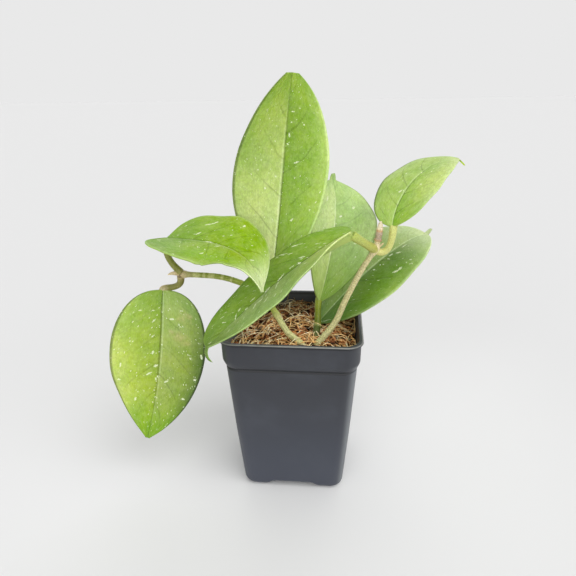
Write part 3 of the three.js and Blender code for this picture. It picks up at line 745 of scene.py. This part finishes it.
def blade_spot(leaf, across, along, drip, edge, under):
    """A point of the blade's skin. Edge runs from 0 inside to 1 on the margin, and rounds the rim there."""
    reach = abs(across)
    half = 0 if across < 0 else 1
    sign = math.copysign(1, across)
    rim = math.radians(90 * edge)
    if drip is None:
        point, tangent, normal, side = midrib_frame(leaf, along)
        share = width_share(leaf, along, half)
        root = leaf["petiole"]["radius"]
        out = leaf["half_width"][half] * share + scallop(leaf, along, half)
        width = math.hypot(out, lerp(root, leaf["tip"][half], along))
        keel = (2 * root - blade_thickness) * (1 - along) ** 1.5 + 0.5 * (1 - along) * min(1, along * 6)
        fold, curl = math.radians(leaf["fold"]), math.radians(leaf["curl"][half]) * reach
        ripple = math.sin(2 * math.pi * (ripples_per_blade * along + right_half_shift * half))
        ripple *= leaf["wave"] * reach ** 2 * share
        billow = 0.35 * share * noise.noise(Vector((across * 2.2, along * 4.5, leaf["fold"])))
        dip = blade_relief(across, along)
    else:
        point, tangent, normal, side = drip_tip_frame(leaf, drip)
        width = leaf["tip"][half] * (1 - 0.5 * drip ** 1.5)
        keel = fold = curl = ripple = billow = dip = 0.0
    thickness = lerp(blade_thickness, margin_thickness, reach if drip is None else 1)
    thickness += keel * math.exp(-((width * reach / keel_half_width) ** 2))
    out = width * reach
    angle = fold + curl / 2
    rise = out * math.sin(angle) + ripple + billow - dip
    spot = point + side * (sign * out * math.cos(angle)) + normal * rise
    down = side * (sign * math.sin(fold + curl)) - normal * math.cos(fold + curl)
    middle = spot + down * (thickness / 2)
    return middle + down * ((thickness / 2 if under else -thickness / 2) * math.cos(rim))


def blade(leaf):
    """A blade: a flat grid that is doubled by an extrusion, and laid on the leaf's upper and lower face."""
    columns, rows, rim_cells = 72, 108, 3
    drip_rows = 14 if "drip_tip" in leaf else 0
    total = rows + drip_rows
    rim_width = margin_thickness / sum(leaf["half_width"])
    shape = bmesh.new()
    bmesh.ops.create_grid(shape, x_segments=columns, y_segments=total, size=1)
    layers = {word: shape.verts.layers.float.new(word) for word in ("across", "along", "under")}
    grown = bmesh.ops.extrude_face_region(shape, geom=shape.faces[:], use_keep_orig=True)["geom"]
    lower = set(verts_of(grown))
    for vertex in shape.verts:
        column = (vertex.co.x + 1) / 2 * columns
        row = (vertex.co.y + 1) / 2 * total
        from_margin = min(column, columns - column)
        from_end = total - row
        # The outer cells of the grid make the round rim, and the rest spread over the blade
        inner = min(1.0, max(0.0, (column - rim_cells) / (columns - 2 * rim_cells)))
        rim_share = max(0.0, 1 - from_margin / rim_cells)
        end_share = max(0.0, 1 - from_end / rim_cells)
        flat = (inner * 2 - 1) * (1 - rim_width)
        across = flat + math.copysign(rim_width * math.sin(math.radians(90 * rim_share)), flat)
        share = min(1.0, row / rows)
        along = (1 - math.cos(math.pi * share)) / 2
        drip = (row - rows) / drip_rows if row > rows else None
        under = vertex in lower
        vertex.co = blade_spot(leaf, across, along, drip, max(rim_share, end_share), under)
        vertex[layers["across"]] = across
        # Along runs on past 1 on the drip tip
        vertex[layers["along"]] = along + 0.1 * (drip or 0.0)
        vertex[layers["under"]] = 1.0 if under else 0.0
    bmesh.ops.remove_doubles(shape, verts=shape.verts, dist=0.002)
    bmesh.ops.recalc_face_normals(shape, faces=shape.faces)
    return shape


def petiole_route(leaf):
    petiole = leaf["petiole"]
    point, tangent, normal, _ = midrib_frame(leaf, 0.0)
    back, below = petiole["arriving"]
    end = point + tangent * petiole.get("seat", 0.4) - normal * petiole["radius"]
    start = Vector(petiole["from"])
    handle = end - tangent * back - normal * below
    return bezier_route([start, start + Vector(petiole["leaving"]), handle, end], 40)


# Pot

def loft(levels):
    """A closed body of rounded squares: a square with bevelled corners, extruded from level to level."""
    shape = bmesh.new()
    bmesh.ops.create_grid(shape, x_segments=1, y_segments=1, size=1)
    bmesh.ops.bevel(shape, geom=shape.verts[:], offset=corner_share, offset_type="OFFSET",
                    segments=corner_steps, profile=0.5, affect="VERTICES", material=-1, clamp_overlap=True)
    height, half = levels[0]
    lowest = Matrix.Translation((0, 0, height)) @ Matrix.Diagonal((half, half, 1, 1))
    bmesh.ops.transform(shape, matrix=lowest, verts=shape.verts)
    edges = shape.edges[:]
    for (start, wide), (end, wider) in zip(levels, levels[1:]):
        ring, edges = extrude_ring(shape, edges)
        grow = wider / wide
        bmesh.ops.scale(shape, vec=(grow, grow, 1), verts=ring)
        bmesh.ops.translate(shape, vec=(0, 0, end - start), verts=ring)
    bmesh.ops.contextual_create(shape, geom=edges)
    bmesh.ops.recalc_face_normals(shape, faces=shape.faces)
    return shape


def channel(turned):
    """What is cut away between the feet: its walls lean out and round off on to the floor."""
    wall_line = [(-1.7, foot_height), (-0.1, foot_height - 0.35), (1.3, foot_height - 1.3), (2.5, 2.3),
                 (3.9, 1.1), (5.5, 0.35), (7.1, 0), (7.5, -1)]
    right = [(channel_half_width + out, z) for out, z in wall_line]
    left = [(-x, z) for x, z in reversed(right)]
    length = 3 * foot_half
    shape = bmesh.new()
    corners = [shape.verts.new((x, -length / 2, z)) for x, z in [(0, foot_height), *right, (0, -1), *left]]
    face = shape.faces.new(corners)
    grown = bmesh.ops.extrude_face_region(shape, geom=[face], use_keep_orig=True)["geom"]
    bmesh.ops.translate(shape, vec=(0, length, 0), verts=verts_of(grown))
    bmesh.ops.rotate(shape, matrix=Matrix.Rotation(math.radians(turned), 3, "Z"), verts=shape.verts)
    bmesh.ops.recalc_face_normals(shape, faces=shape.faces)
    return shape


def floor_drill(radius, x, y):
    shape = bmesh.new()
    bmesh.ops.create_cone(shape, cap_ends=True, segments=32, radius1=radius, radius2=radius,
                          depth=4 * floor_level, matrix=Matrix.Translation((x, y, 0)))
    return shape


def make_pot():
    outside = [
        (0, foot_half - 4.6), (0.15, foot_half - 3.6), (0.55, foot_half - 2.4), (1.3, foot_half - 1.3),
        (2.4, foot_half - 0.5), (3.8, foot_half - 0.1), (5.2, foot_half + 0.1),
        (40, lerp(foot_half, body_top_half, 0.5)),
        (crease_level - 1.6, body_top_half - 0.05), (crease_level - 0.7, body_top_half - 0.05),
        (crease_level - 0.2, body_top_half - 0.35), (crease_level + 0.25, body_top_half - 0.3),
        (crease_level + 0.7, body_top_half + 0.2), (crease_level + 2.1, body_top_half + 0.8),
        (collar_level - 1.6, collar_half - 0.5), (collar_level - 0.6, collar_half - 0.2),
        (collar_level + 0.6, collar_half - 0.1), (collar_level + 3.8, collar_half - 0.05),
        (pot_height - 1.7, collar_half + 0.1), (pot_height - 1.3, collar_half + 0.5),
        (pot_height - 0.95, lip_half - 0.1), (pot_height - 0.6, lip_half),
        (pot_height - 0.25, lip_half - 0.15), (pot_height, lip_half - 0.5),
        (pot_height, collar_half - wall + 0.5),
    ]
    inside = [
        (floor_level, inside_foot - 0.6), (floor_level + 0.6, inside_foot),
        (body_top_level, body_top_half - wall),
        (body_top_level + 2.8, body_top_half - wall + 0.9), (collar_level - 0.5, collar_half - 0.3 - wall),
        (pot_height - 1, collar_half - wall), (pot_height - 0.2, collar_half - wall + 0.2),
        (pot_height + 1, collar_half - wall + 1),
    ]
    pot = add_object("pot body", as_mesh("pot body", loft(outside)))
    cutters = [loft(inside), floor_drill(middle_hole_radius, 0, 0), channel(0), channel(90)]
    for x, y in ((1, 0), (-1, 0), (0, 1), (0, -1)):
        cutters.append(floor_drill(side_hole_radius, side_hole_place * x, side_hole_place * y))
    for cutter_shape in cutters:
        cutter = add_object("cutter", as_mesh("cutter", cutter_shape))
        cut = pot.modifiers.new("cut", "BOOLEAN")
        cut.operation = "DIFFERENCE"
        cut.solver = "EXACT"
        cut.object = cutter
        bpy.context.view_layer.objects.active = pot
        with bpy.context.temp_override(object=pot, active_object=pot):
            bpy.ops.object.modifier_apply(modifier=cut.name)
        bpy.data.objects.remove(cutter)
    shape = bmesh.new()
    shape.from_mesh(pot.data)
    bpy.data.objects.remove(pot)
    return shape


# Potting mix

def inside_half(height):
    """The pot's inner half width at a height."""
    if height < body_top_level:
        share = (height - floor_level) / (body_top_level - floor_level)
        return lerp(inside_foot, body_top_half - wall, share)
    share = min(1.0, (height - body_top_level) / (collar_level - 0.5 - body_top_level))
    return lerp(body_top_half, collar_half - 0.3, share) - wall


def soil_height(x, y):
    slope = soil_rise * y / lip_half
    lumps = 0.7 * math.sin(x / 4.1 + 1.3) * math.cos(y / 4.9 + 0.4) + 0.5 * math.sin(x / 2.3 - y / 3.1)
    dip = hollow_depth * math.exp(-((x - hollow_place[0]) ** 2 + (y - hollow_place[1]) ** 2) / hollow_spread)
    fall = dome_fall * min(1.0, ((x - dome_middle) / dome_span) ** 2)
    return soil_level + slope + lumps - dip - fall


def make_ground():
    """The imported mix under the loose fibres: a grid in the pot's rounded square, with crumbs and hollows."""
    shape = bmesh.new()
    bmesh.ops.create_grid(shape, x_segments=110, y_segments=110, size=1)
    half = inside_half(ground_bottom) - ground_gap
    for vertex in shape.verts:
        x, y = vertex.co.x, vertex.co.y
        # The square grid is drawn in towards a square with round corners
        squareness = (abs(x) ** 9 + abs(y) ** 9) ** (1 / 9) or 1.0
        draw_in = max(abs(x), abs(y)) / squareness
        x, y = x * half * draw_in, y * half * draw_in
        crumbs = noise.noise(Vector((x, y, 3.0)) * 0.8) + 0.6 * noise.noise(Vector((x, y, 9.0)) * 2.1)
        level = soil_height(x, y) - ground_depth + crumb_rise * crumbs
        spread = (inside_half(level) - ground_gap) / half
        vertex.co = Vector((x * spread, y * spread, level))
    grown = bmesh.ops.extrude_face_region(shape, geom=shape.faces[:], use_keep_orig=True)["geom"]
    for vertex in verts_of(grown):
        narrow = half / (inside_half(vertex.co.z) - ground_gap)
        vertex.co = Vector((vertex.co.x * narrow, vertex.co.y * narrow, ground_bottom))
    bmesh.ops.recalc_face_normals(shape, faces=shape.faces)
    return mark_lift(shape)


def keep_in_pot(point, margin):
    """Draws a point in until it lies inside the pot's inner wall, round corners included."""
    half = inside_half(point.z) - margin
    corner = corner_share * half
    straight = half - corner
    x = min(half, max(-half, point.x))
    y = min(half, max(-half, point.y))
    past = Vector((max(0.0, abs(x) - straight), max(0.0, abs(y) - straight)))
    if past.length > corner:
        past *= corner / past.length
        x = math.copysign(straight + past.x, x)
        y = math.copysign(straight + past.y, y)
    return Vector((x, y, point.z))


def mark_lift(shape):
    """Notes how far each spot lies above the mix's surface."""
    layer = shape.verts.layers.float.new("lift")
    for vertex in shape.verts:
        vertex[layer] = vertex.co.z - soil_height(vertex.co.x, vertex.co.y)
    return shape


def new_strands():
    strands = bpy.data.curves.new("strands", "CURVE")
    strands.dimensions = "3D"
    strands.bevel_depth = 1.0
    strands.bevel_resolution = 0
    strands.use_fill_caps = False
    return strands


def add_strand(strands, points, radii):
    strand = strands.splines.new("POLY")
    strand.points.add(len(points) - 1)
    for spot, point, radius in zip(strand.points, points, radii):
        spot.co = (*point, 1)
        spot.radius = radius


def as_shape(strands):
    """The strands' skin as a bmesh shape."""
    source = add_object("strands", strands)
    bpy.context.view_layer.update()
    mesh = bpy.data.meshes.new_from_object(source.evaluated_get(bpy.context.evaluated_depsgraph_get()))
    shape = bmesh.new()
    shape.from_mesh(mesh)
    bpy.data.objects.remove(source)
    bpy.data.meshes.remove(mesh)
    return mark_lift(shape)


def make_strays():
    """The few long fibres that stand out of the mix: two up the back wall, and two in its right half."""
    strands = new_strands()
    for points in stray_routes:
        route = smooth_route(points, 5)
        add_strand(strands, route, [stray_radius * (1 - 0.5 * i / len(route)) for i in range(len(route))])
    return as_shape(strands)


def make_fibres(draw, count, thickness, reach, rise):
    """Coir fibres: stiff strands that lie this way and that, tilted, a little bent and partly sunk."""
    strands = new_strands()
    half = inside_half(soil_level)
    steps = 7
    for number in range(count):
        x, y = draw.uniform(-half, half), draw.uniform(-half, half)
        heading = draw.uniform(0, 2 * math.pi)
        length = draw.uniform(*reach)
        middle = draw.uniform(-1.2, 0.5 * rise)
        tilt = draw.gauss(0, 0.2)
        arch = draw.uniform(0, 1) ** 2 * 0.45 * rise
        bend = draw.gauss(0, 0.5)
        radius = thickness * draw.uniform(0.5, 1.4)
        x -= math.cos(heading) * length / 2
        y -= math.sin(heading) * length / 2
        points, radii = [], []
        for step in range(steps):
            share = step / (steps - 1)
            wobble = noise.noise(Vector((number * 0.7, share * 2.5, count)))
            height = middle + tilt * length * (share - 0.5) + arch * math.sin(math.pi * share) + 0.5 * wobble
            points.append(keep_in_pot(Vector((x, y, soil_height(x, y) + height)), 0.5))
            radii.append(radius * (1 - 0.6 * abs(2 * share - 1) ** 3))
            heading += bend / steps + 0.9 * wobble / steps
            x += math.cos(heading) * length / steps
            y += math.sin(heading) * length / steps
        add_strand(strands, points, radii)
    return as_shape(strands)


def make_chips(draw, count):
    """Husk chips: small slabs with worn edges, tilted every way in the mix."""
    shape = bmesh.new()
    half = inside_half(soil_level) - 2
    for _ in range(count):
        x, y = draw.uniform(-half, half), draw.uniform(-half, half)
        tilt = Matrix.Rotation(draw.uniform(-0.7, 0.7), 4, "X")
        tilt @= Matrix.Rotation(draw.uniform(-0.7, 0.7), 4, "Y")
        turn = Matrix.Rotation(draw.uniform(0, 2 * math.pi), 4, "Z")
        size = Matrix.Diagonal((draw.uniform(1.5, 6), draw.uniform(1.2, 3.2), draw.uniform(0.5, 1.1), 1))
        spot = Matrix.Translation((x, y, soil_height(x, y) + draw.uniform(-0.6, 1.4)))
        bmesh.ops.create_cube(shape, size=1, matrix=spot @ turn @ tilt @ size)
    bmesh.ops.bevel(shape, geom=shape.edges[:], offset=0.18, offset_type="OFFSET", segments=1, profile=0.5,
                    affect="EDGES", material=-1, clamp_overlap=True)
    for vertex in shape.verts:
        vertex.co = keep_in_pot(vertex.co + noise.noise_vector(vertex.co * 0.9) * 0.35, 0.3)
    return mark_lift(shape)


# Stems

def stem_radius(stem, share):
    radius = lerp(*stem["radius"], share)
    for place, extra, spread in stem["swellings"]:
        radius += extra * math.exp(-(((share - place) / spread) ** 2))
    return radius


def make_stem(stem):
    """A stem with its swellings, slightly lumpy, and rounded off at its upper end."""
    route = smooth_route(stem["route"], 22)
    shape = tube(route, lambda share: stem_radius(stem, share) * min(1, 0.35 + (1 - share) * 45))
    for vertex in shape.verts:
        lumps = noise.noise_vector(vertex.co * 0.7) + noise.noise_vector(vertex.co * 2.1) * 0.5
        vertex.co += lumps * stem_lumpiness
    return shape


# Everything is put together here

# Each leaf's colours are its own green with painted light and shade in them: a lit half and a shaded half, and
# darker margins where a blade curls away.
leaf_colours = {
    "tall": dict(
        halves=[(144, 176, 72), (160, 185, 82), (172, 194, 100),
                (120, 156, 38), (134, 168, 50), (174, 200, 98)],
        base=((212, 226, 152), (152, 186, 76)), base_end=0.85, tip=(146, 177, 60), under=(150, 172, 96),
        lit_side=-1, rim_tone_and_light=(0.9, -0.6), clusters=0.14, dots=0.3, seed=3,
        marks=[(-0.52, 0.77, 0.5), (-0.48, 0.56, 0.5), (-0.52, 0.51, 0.4), (-0.34, 0.42, 0.7),
               (-0.14, 0.48, 0.5), (0.34, 0.83, 0.5), (0.1, 0.81, 0.18, 0.81, 0.4), (0.68, 0.85, 0.45),
               (0.12, 0.755, 0.5), (0.44, 0.75, 0.45), (0.08, 0.7, 0.09, 0.68, 0.6), (0.06, 0.645, 0.6),
               (0.24, 0.555, 0.34, 0.565, 0.5), (0.76, 0.34, 0.5), (0.36, 0.275, 0.4, 0.285, 0.6),
               (0.1, 0.91, 0.5)]),
    "front": dict(
        halves=[(150, 182, 90), (146, 176, 86), (148, 172, 94),
                (122, 154, 58), (128, 162, 58), (118, 150, 50)],
        base=((206, 218, 134), (150, 186, 72)), tip=(112, 142, 54), under=(132, 160, 84),
        under_base=(182, 202, 108), lit_side=-1, rim_tone_and_light=(-0.5, 0.3), clusters=0.42, dots=0.32, streak=3,
        seed=11,
        marks=[(0, 0.59, 0.04, 0.555, 0.5), (-0.56, 0.575, -0.5, 0.55, 0.4), (-0.18, 0.53, -0.06, 0.5, 0.5),
               (0.02, 0.5, 0.08, 0.45, 0.45), (-0.18, 0.665, -0.18, 0.62, 0.5),
               (-0.28, 0.705, -0.14, 0.665, 0.45), (-0.44, 0.64, -0.34, 0.6, 0.4),
               (0.12, 0.68, 0.12, 0.645, 0.4), (-0.06, 0.81, 0.18, 0.77, 0.3),
               (0.18, 0.755, 0.22, 0.74, 0.6), (0.02, 0.73, 0.02, 0.715, 0.5),
               (0.38, 0.855, 0.22, 0.84, 0.35), (-0.16, 0.335, -0.32, 0.3, 0.4),
               (0.06, 0.365, 0.02, 0.34, 0.4), (0.1, 0.41, 0.1, 0.38, 0.35),
               (0.38, 0.225, 0.34, 0.21, 0.45)]),
    "left": dict(
        halves=[(146, 176, 50), (146, 180, 44), (132, 168, 38),
                (142, 172, 48), (146, 184, 40), (146, 176, 60)],
        base=((130, 166, 58), (132, 168, 66)), tip=(222, 235, 176), tip_start=0.62, under=(140, 160, 86),
        lit_side=1, rim_tone_and_light=(-0.3, -0.4), groove_shade=0.5, crest_light=0.7, shine=0.12, clusters=0.26, dots=0.28,
        streak=2, seed=19,
        marks=[(-0.6, 0.167, -0.66, 0.21, 0.55), (-0.66, 0.21, -0.76, 0.24, 0.6),
               (-0.18, 0.16, -0.3, 0.184, 0.6), (-0.76, 0.44, -0.82, 0.45, 0.6), (-0.7, 0.43, 0.4),
               (-0.54, 0.39, 0.5), (-0.62, 0.043, -0.64, 0.051, 0.5), (-0.28, 0.36, 0.5),
               (0.14, 0.374, 0.06, 0.407, 0.6), (0, 0.258, 0, 0.325, 0.45), (-0.08, 0.705, -0.22, 0.73, 0.5),
               (0.6, 0.374, 0.52, 0.382, 0.7), (0.56, 0.465, 0.52, 0.465, 0.4), (0.5, 0.515, 0.45),
               (0.56, 0.018, 0.42, 0.027, 0.4), (0.26, 0.118, 0.22, 0.134, 0.4)]),
    "hanging": dict(
        halves=[(80, 108, 30), (136, 160, 60), (154, 174, 82),
                (146, 172, 54), (170, 192, 76), (190, 208, 108)],
        base=((160, 188, 96), (148, 182, 70)), tip=(126, 168, 26), tip_start=0.68, under=(150, 170, 96),
        lit_side=-1, rim_tone_and_light=(1.0, 0.95), clusters=0.36, dots=0.42, seed=27,
        blush=[(-0.74, 0.18, -0.4, 0.2, 5), (-0.2, 0.28, -0.64, 0.36, 4)],
        marks=[(0.6, 0.142, 0.52, 0.142, 0.5), (0.28, 0.142, 0.18, 0.142, 0.35),
               (0.22, 0.225, 0.14, 0.2, 0.5), (0.2, 0.325, 0.14, 0.31, 0.4), (0.62, 0.35, 0.5),
               (0.8, 0.53, 0.78, 0.5, 0.5), (0.5, 0.51, 0.4), (0.16, 0.44, 0.14, 0.416, 0.7),
               (0.1, 0.52, 0.04, 0.515, 0.9), (0.26, 0.58, 0.14, 0.56, 0.6), (0.9, 0.62, 0.82, 0.62, 0.5),
               (0.32, 0.69, 0.4), (0.06, 0.68, 0.5), (0.6, 0.76, 0.54, 0.74, 0.8), (0.06, 0.76, 0.45),
               (0.76, 0.86, 0.4), (0.4, 0.9, 0.5), (-0.2, 0.2, -0.3, 0.2, 0.8),
               (-0.5, 0.142, -0.58, 0.142, 0.35), (-0.86, 0.25, 0.4), (-0.9, 0.424, -0.94, 0.449, 0.7),
               (-0.16, 0.62, -0.26, 0.606, 0.6), (-0.64, 0.68, 0.5), (-0.74, 0.7, -0.84, 0.705, 0.6),
               (-0.94, 0.75, 0.5), (-0.84, 0.82, 0.5)]),
    "upper": dict(
        halves=[(162, 194, 92), (162, 192, 88), (164, 192, 98),
                (158, 192, 80), (184, 206, 106), (198, 218, 132)],
        base=((174, 202, 104), (128, 172, 42)), base_end=0.38, tip=(192, 214, 128),
        drip=((118, 150, 34), (182, 206, 52)), under=(150, 172, 96), lit_side=-1, rim_tone_and_light=(0.95, -0.2),
        vein_depth=0.75, rim_start=0.88, clusters=0.08, dots=0.28, seed=33,
        marks=[(-0.4, 0.5, 0.5), (0.3, 0.6, 0.5), (-0.16, 0.3, -0.1, 0.33, 0.6), (0.36, 0.42, 0.5)]),
    "back": dict(
        halves=[(186, 210, 126), (192, 212, 138), (200, 219, 148),
                (164, 192, 112), (176, 205, 126), (188, 212, 140)],
        base=((182, 206, 112), (134, 170, 58)), tip=(176, 206, 124), under=(160, 180, 110), lit_side=-1,
        vein_depth=0.35, groove_shade=0.2, crest_light=0.9, clusters=0.14, dots=0.2, seed=41,
        marks=[(-0.46, 0.72, -0.44, 0.77, 0.8), (-0.2, 0.66, 0.5), (0.08, 0.59, 0.14, 0.6, 0.6),
               (0.8, 0.7, 0.45), (0.42, 0.68, 0.48, 0.7, 0.8), (0.5, 0.38, 0.58, 0.39, 0.5),
               (0.66, 0.29, 0.5), (0.46, 0.09, 0.5)]),
    "low": dict(
        halves=[(164, 188, 112), (166, 188, 118), (148, 174, 96),
                (98, 134, 38), (108, 146, 42), (150, 180, 84)],
        base=((116, 150, 72), (80, 118, 36)), tip=(204, 222, 158), tip_start=0.55, under=(140, 160, 90),
        lit_side=-1, rim_tone_and_light=(-0.5, -0.6), groove_shade=0.3, crest_light=0.9, clusters=0.28, dots=0.3, streak=2.4,
        seed=52,
        marks=[(0.1, 0.68, 0.1, 0.73, 0.6), (0.14, 0.606, 0.22, 0.64, 0.7), (0.06, 0.556, 0.08, 0.59, 0.6),
               (0.1, 0.53, 0.16, 0.54, 0.5), (0.1, 0.465, 0.5), (0.16, 0.48, 0.5),
               (0.08, 0.41, 0.1, 0.416, 0.6), (0.56, 0.474, 0.64, 0.507, 0.8),
               (0.63, 0.507, 0.64, 0.54, 0.9), (0.48, 0.53, 0.5), (0.64, 0.62, 0.7, 0.63, 0.5),
               (0.8, 0.606, 0.5), (0.64, 0.59, 0.5), (0.36, 0.33, 0.4)]),
}
petiole_colours = {
    "tall": dict(
        stops=[(0, (136, 140, 70)), (1, (176, 186, 96))],
        streaks=(116, 124, 50), spots=(196, 196, 130)),
    "front": dict(
        stops=[(0, (196, 186, 120)), (0.08, (176, 176, 84)), (0.6, (186, 194, 92)), (1, (182, 198, 96))],
        streaks=(140, 146, 52), spots=(214, 216, 150), spot_share=0.3),
    "left": dict(
        stops=[(0, (150, 142, 80)), (0.15, (128, 130, 52)), (1, (136, 146, 56))],
        streaks=(98, 104, 34), spots=(176, 174, 100)),
    "hanging": dict(
        stops=[(0, (176, 158, 110)), (0.14, (132, 128, 60)), (0.7, (124, 124, 48)), (0.9, (190, 176, 130)),
               (1, (214, 198, 156))],
        streaks=(92, 92, 32), spots=(186, 178, 112)),
    "upper": dict(
        stops=[(0, (206, 200, 130)), (0.2, (214, 214, 130)), (1, (206, 212, 124))],
        streaks=(182, 178, 90), spots=(168, 146, 88), spot_share=0.6),
    "back": dict(
        stops=[(0, (176, 178, 84)), (0.12, (112, 126, 24)), (0.6, (134, 148, 30)), (1, (170, 184, 66))],
        streaks=(84, 98, 20), spots=(168, 176, 70), spot_share=0.3),
    "low": dict(
        stops=[(0, (80, 90, 30)), (1, (106, 122, 44))],
        streaks=(64, 74, 20), spots=(122, 132, 60)),
}

for name, leaf in leaves.items():
    midrib = bezier_route(leaf["midrib"], 20)
    length = sum((end - start).length for start, end in zip(midrib, midrib[1:]))
    width = sum(leaf["half_width"]) / 2
    finish = leaf_material(name, width, length, **leaf_colours[name])
    add_piece(f"{name}_blade", blade(leaf), finish, [f"leaf_{name}"], sharp=60)
    radius = leaf["petiole"]["radius"]
    route = petiole_route(leaf)
    stalk = tube(route, lambda share: radius * (1 + end_swelling * math.cos(2 * math.pi * share)))
    bark = stalk_material(f"{name} petiole", rough=0.38, grain_depth=0.4, **petiole_colours[name])
    add_piece(f"{name}_stalk", stalk, bark, [f"petiole_{name}"])

stem_finishes = {
    "left": stalk_material(
        "left stem",
        [(0, (206, 202, 140)), (0.4, (232, 228, 164)), (0.48, (224, 222, 148)), (0.53, (182, 196, 74)),
         (0.6, (150, 162, 56)), (0.7, (170, 188, 62)), (0.76, (138, 152, 46)), (0.93, (132, 142, 50)),
         (0.975, (196, 178, 132)), (1, (204, 186, 142))],
        streaks=(166, 172, 92), spots=(126, 134, 52), spot_share=0.3, grain_depth=0.7,
        dashes=[(0.923, 0.016), (0.889, 0.006), (0.856, 0.014), (0.807, 0.006), (0.765, 0.005)]),
    "right": stalk_material(
        "right stem",
        [(0, (204, 200, 142)), (0.3, (208, 206, 146)), (0.6, (214, 206, 150)), (0.85, (218, 204, 156)),
         (0.905, (238, 220, 178)), (0.913, (196, 150, 108)), (0.922, (178, 156, 138)),
         (0.95, (186, 164, 142)), (0.958, (220, 172, 122)), (0.966, (238, 222, 188)), (1, (240, 226, 194))],
        streaks=(176, 164, 104), spots=(240, 234, 190), spot_share=0.75, rough=0.6),
    "centre": stalk_material(
        "centre stem",
        [(0, (150, 160, 112)), (0.78, (146, 158, 108)), (0.84, (92, 106, 40)), (0.93, (84, 100, 26)),
         (0.96, (160, 164, 84)), (1, (132, 146, 40))],
        streaks=(70, 84, 24), spots=(172, 182, 128), spot_share=0.5),
}
for name, stem in stems.items():
    add_piece(f"{name}_shoot", make_stem(stem), stem_finishes[name], [f"stem_{name}"])

husk = stalk_material("bud scale", [(0, (206, 186, 140)), (1, (224, 206, 160))], streaks=(186, 158, 108),
                      spots=(236, 226, 190))
bud_route = smooth_route([(-63.3, -10, 129), (-66.4, -10, 129.1), (-68.6, -10, 128.7), (-70.3, -10, 128)], 6)
bud = tube(bud_route, lambda share: 1.25 * (1 - share ** 2) + 0.12, 14)
add_piece("left_bud", bud, husk)
spur_route = smooth_route([(44.2, -10.6, 145.5), (46.2, -10.4, 146.7), (47.8, -10, 148.1)], 5)
spur = tube(spur_route, lambda share: 0.75 * (1 - 0.5 * share), 10)
add_piece("right_spur", spur, husk)

add_piece("nursery_pot", make_pot(), plastic_material(), ["pot"], sharp=32)

draw = random.Random(5)
crumbs = coir_material("crumb", (26, 17, 10), (92, 58, 34))
add_piece("packed_mix", make_ground(), crumbs, ["potting_mix"])
husk_coir = coir_material("husk", (128, 74, 44), (196, 130, 82))
add_piece("husk_chips", make_chips(draw, chip_count), husk_coir)
# Of each kind: how many there are, how thick, how long and how far raised, and the dark and the light colour
strand_kinds = {
    "dark_fibres": (900, 0.3, (5, 12), 2.4, (58, 34, 20), (104, 64, 36)),
    "brown_fibres": (620, 0.32, (5, 13), 3.6, (150, 94, 54), (208, 146, 88)),
    "tan_fibres": (680, 0.31, (6, 15), 4.4, (216, 168, 108), (250, 214, 156)),
    "pale_fibres": (340, 0.33, (7, 17), 5.2, (240, 214, 160), (255, 242, 210)),
}
for name, (count, thickness, reach, rise, dark, light) in strand_kinds.items():
    strands = make_fibres(draw, count, thickness, reach, rise)
    add_piece(name, strands, coir_material(name, dark, light), sharp=80)
stray_coir = coir_material("stray", (206, 176, 122), (246, 222, 170))
add_piece("stray_fibres", make_strays(), stray_coir, sharp=80)


# Floor, light and camera

def make_floor():
    material, tree, shader = new_material("pale floor", roughness=0.9, specular_ior_level=0.0)
    away = vector_math(tree, "LENGTH", add_node(tree, "TexCoord").outputs["Object"])["Value"]
    # Painted pool of light: the floor is lighter near its middle, round the pot, and darker further out.
    give(tree, shader, blend_colours(tree, fade(tree, away, 0.07, 0.3), (235, 235, 235), (226, 226, 226)))
    shape = bmesh.new()
    bmesh.ops.create_grid(shape, x_segments=1, y_segments=1, size=6)
    floor = add_object("floor", as_mesh("floor", shape))
    floor.data.materials.append(material)


def add_sun(name, direction, spread, power):
    """Soft even light from one side, as from a large window or softbox far away."""
    light = bpy.data.lights.new(name, "SUN")
    light.angle = math.radians(spread)
    light.energy = power
    lamp = add_object(name, light)
    lamp.rotation_euler = Vector(direction).to_track_quat("Z", "Y").to_euler()


def make_camera():
    """The photograph's view: how far it is turned, raised and rolled about a point above the pot's foot."""
    turned, raised, rolled = (math.radians(angle) for angle in (5.7, 22.0, -0.95))
    distance, aside, above = 0.2972, -0.0038, 0.1177
    back = Matrix.Rotation(turned, 3, "Z") @ Vector((0, -math.cos(raised), math.sin(raised)))
    level = Vector((0, 0, 1)).cross(back).normalized()
    upright = back.cross(level)
    right = level * math.cos(rolled) + upright * math.sin(rolled)
    up = upright * math.cos(rolled) - level * math.sin(rolled)
    place = pot_centre + level * aside + Vector((0, 0, above)) + back * distance
    camera = add_object("camera", bpy.data.cameras.new("camera"))
    camera.data.lens = 32.5
    camera.data.sensor_width = 36
    camera.data.clip_start = 0.01
    turn = Matrix((right, up, back)).transposed().to_4x4()
    camera.matrix_world = Matrix.Translation(place) @ turn
    scene.camera = camera


def make_sky(horizon, zenith):
    """White light from all round, weaker from overhead."""
    world = bpy.data.worlds.new("studio")
    world.use_nodes = True
    tree = world.node_tree
    background = tree.nodes["Background"].inputs
    height = own_space(tree, "Generated", "Z")
    tree.links.new(fade(tree, height, 0.1, 0.9, horizon, zenith), background["Strength"])
    background["Color"].default_value = (1, 1, 1, 1)
    scene.world = world


scene.view_settings.view_transform = "Standard"
make_floor()
make_sky(horizon=0.815, zenith=0.46)
add_sun("key", direction=(0.41, -0.32, 0.7), spread=45, power=1.15)
add_sun("fill", direction=(-0.1, -0.95, 0.28), spread=70, power=1.2)
add_sun("back", direction=(0.05, 0.75, 0.65), spread=60, power=0.5)
make_camera()
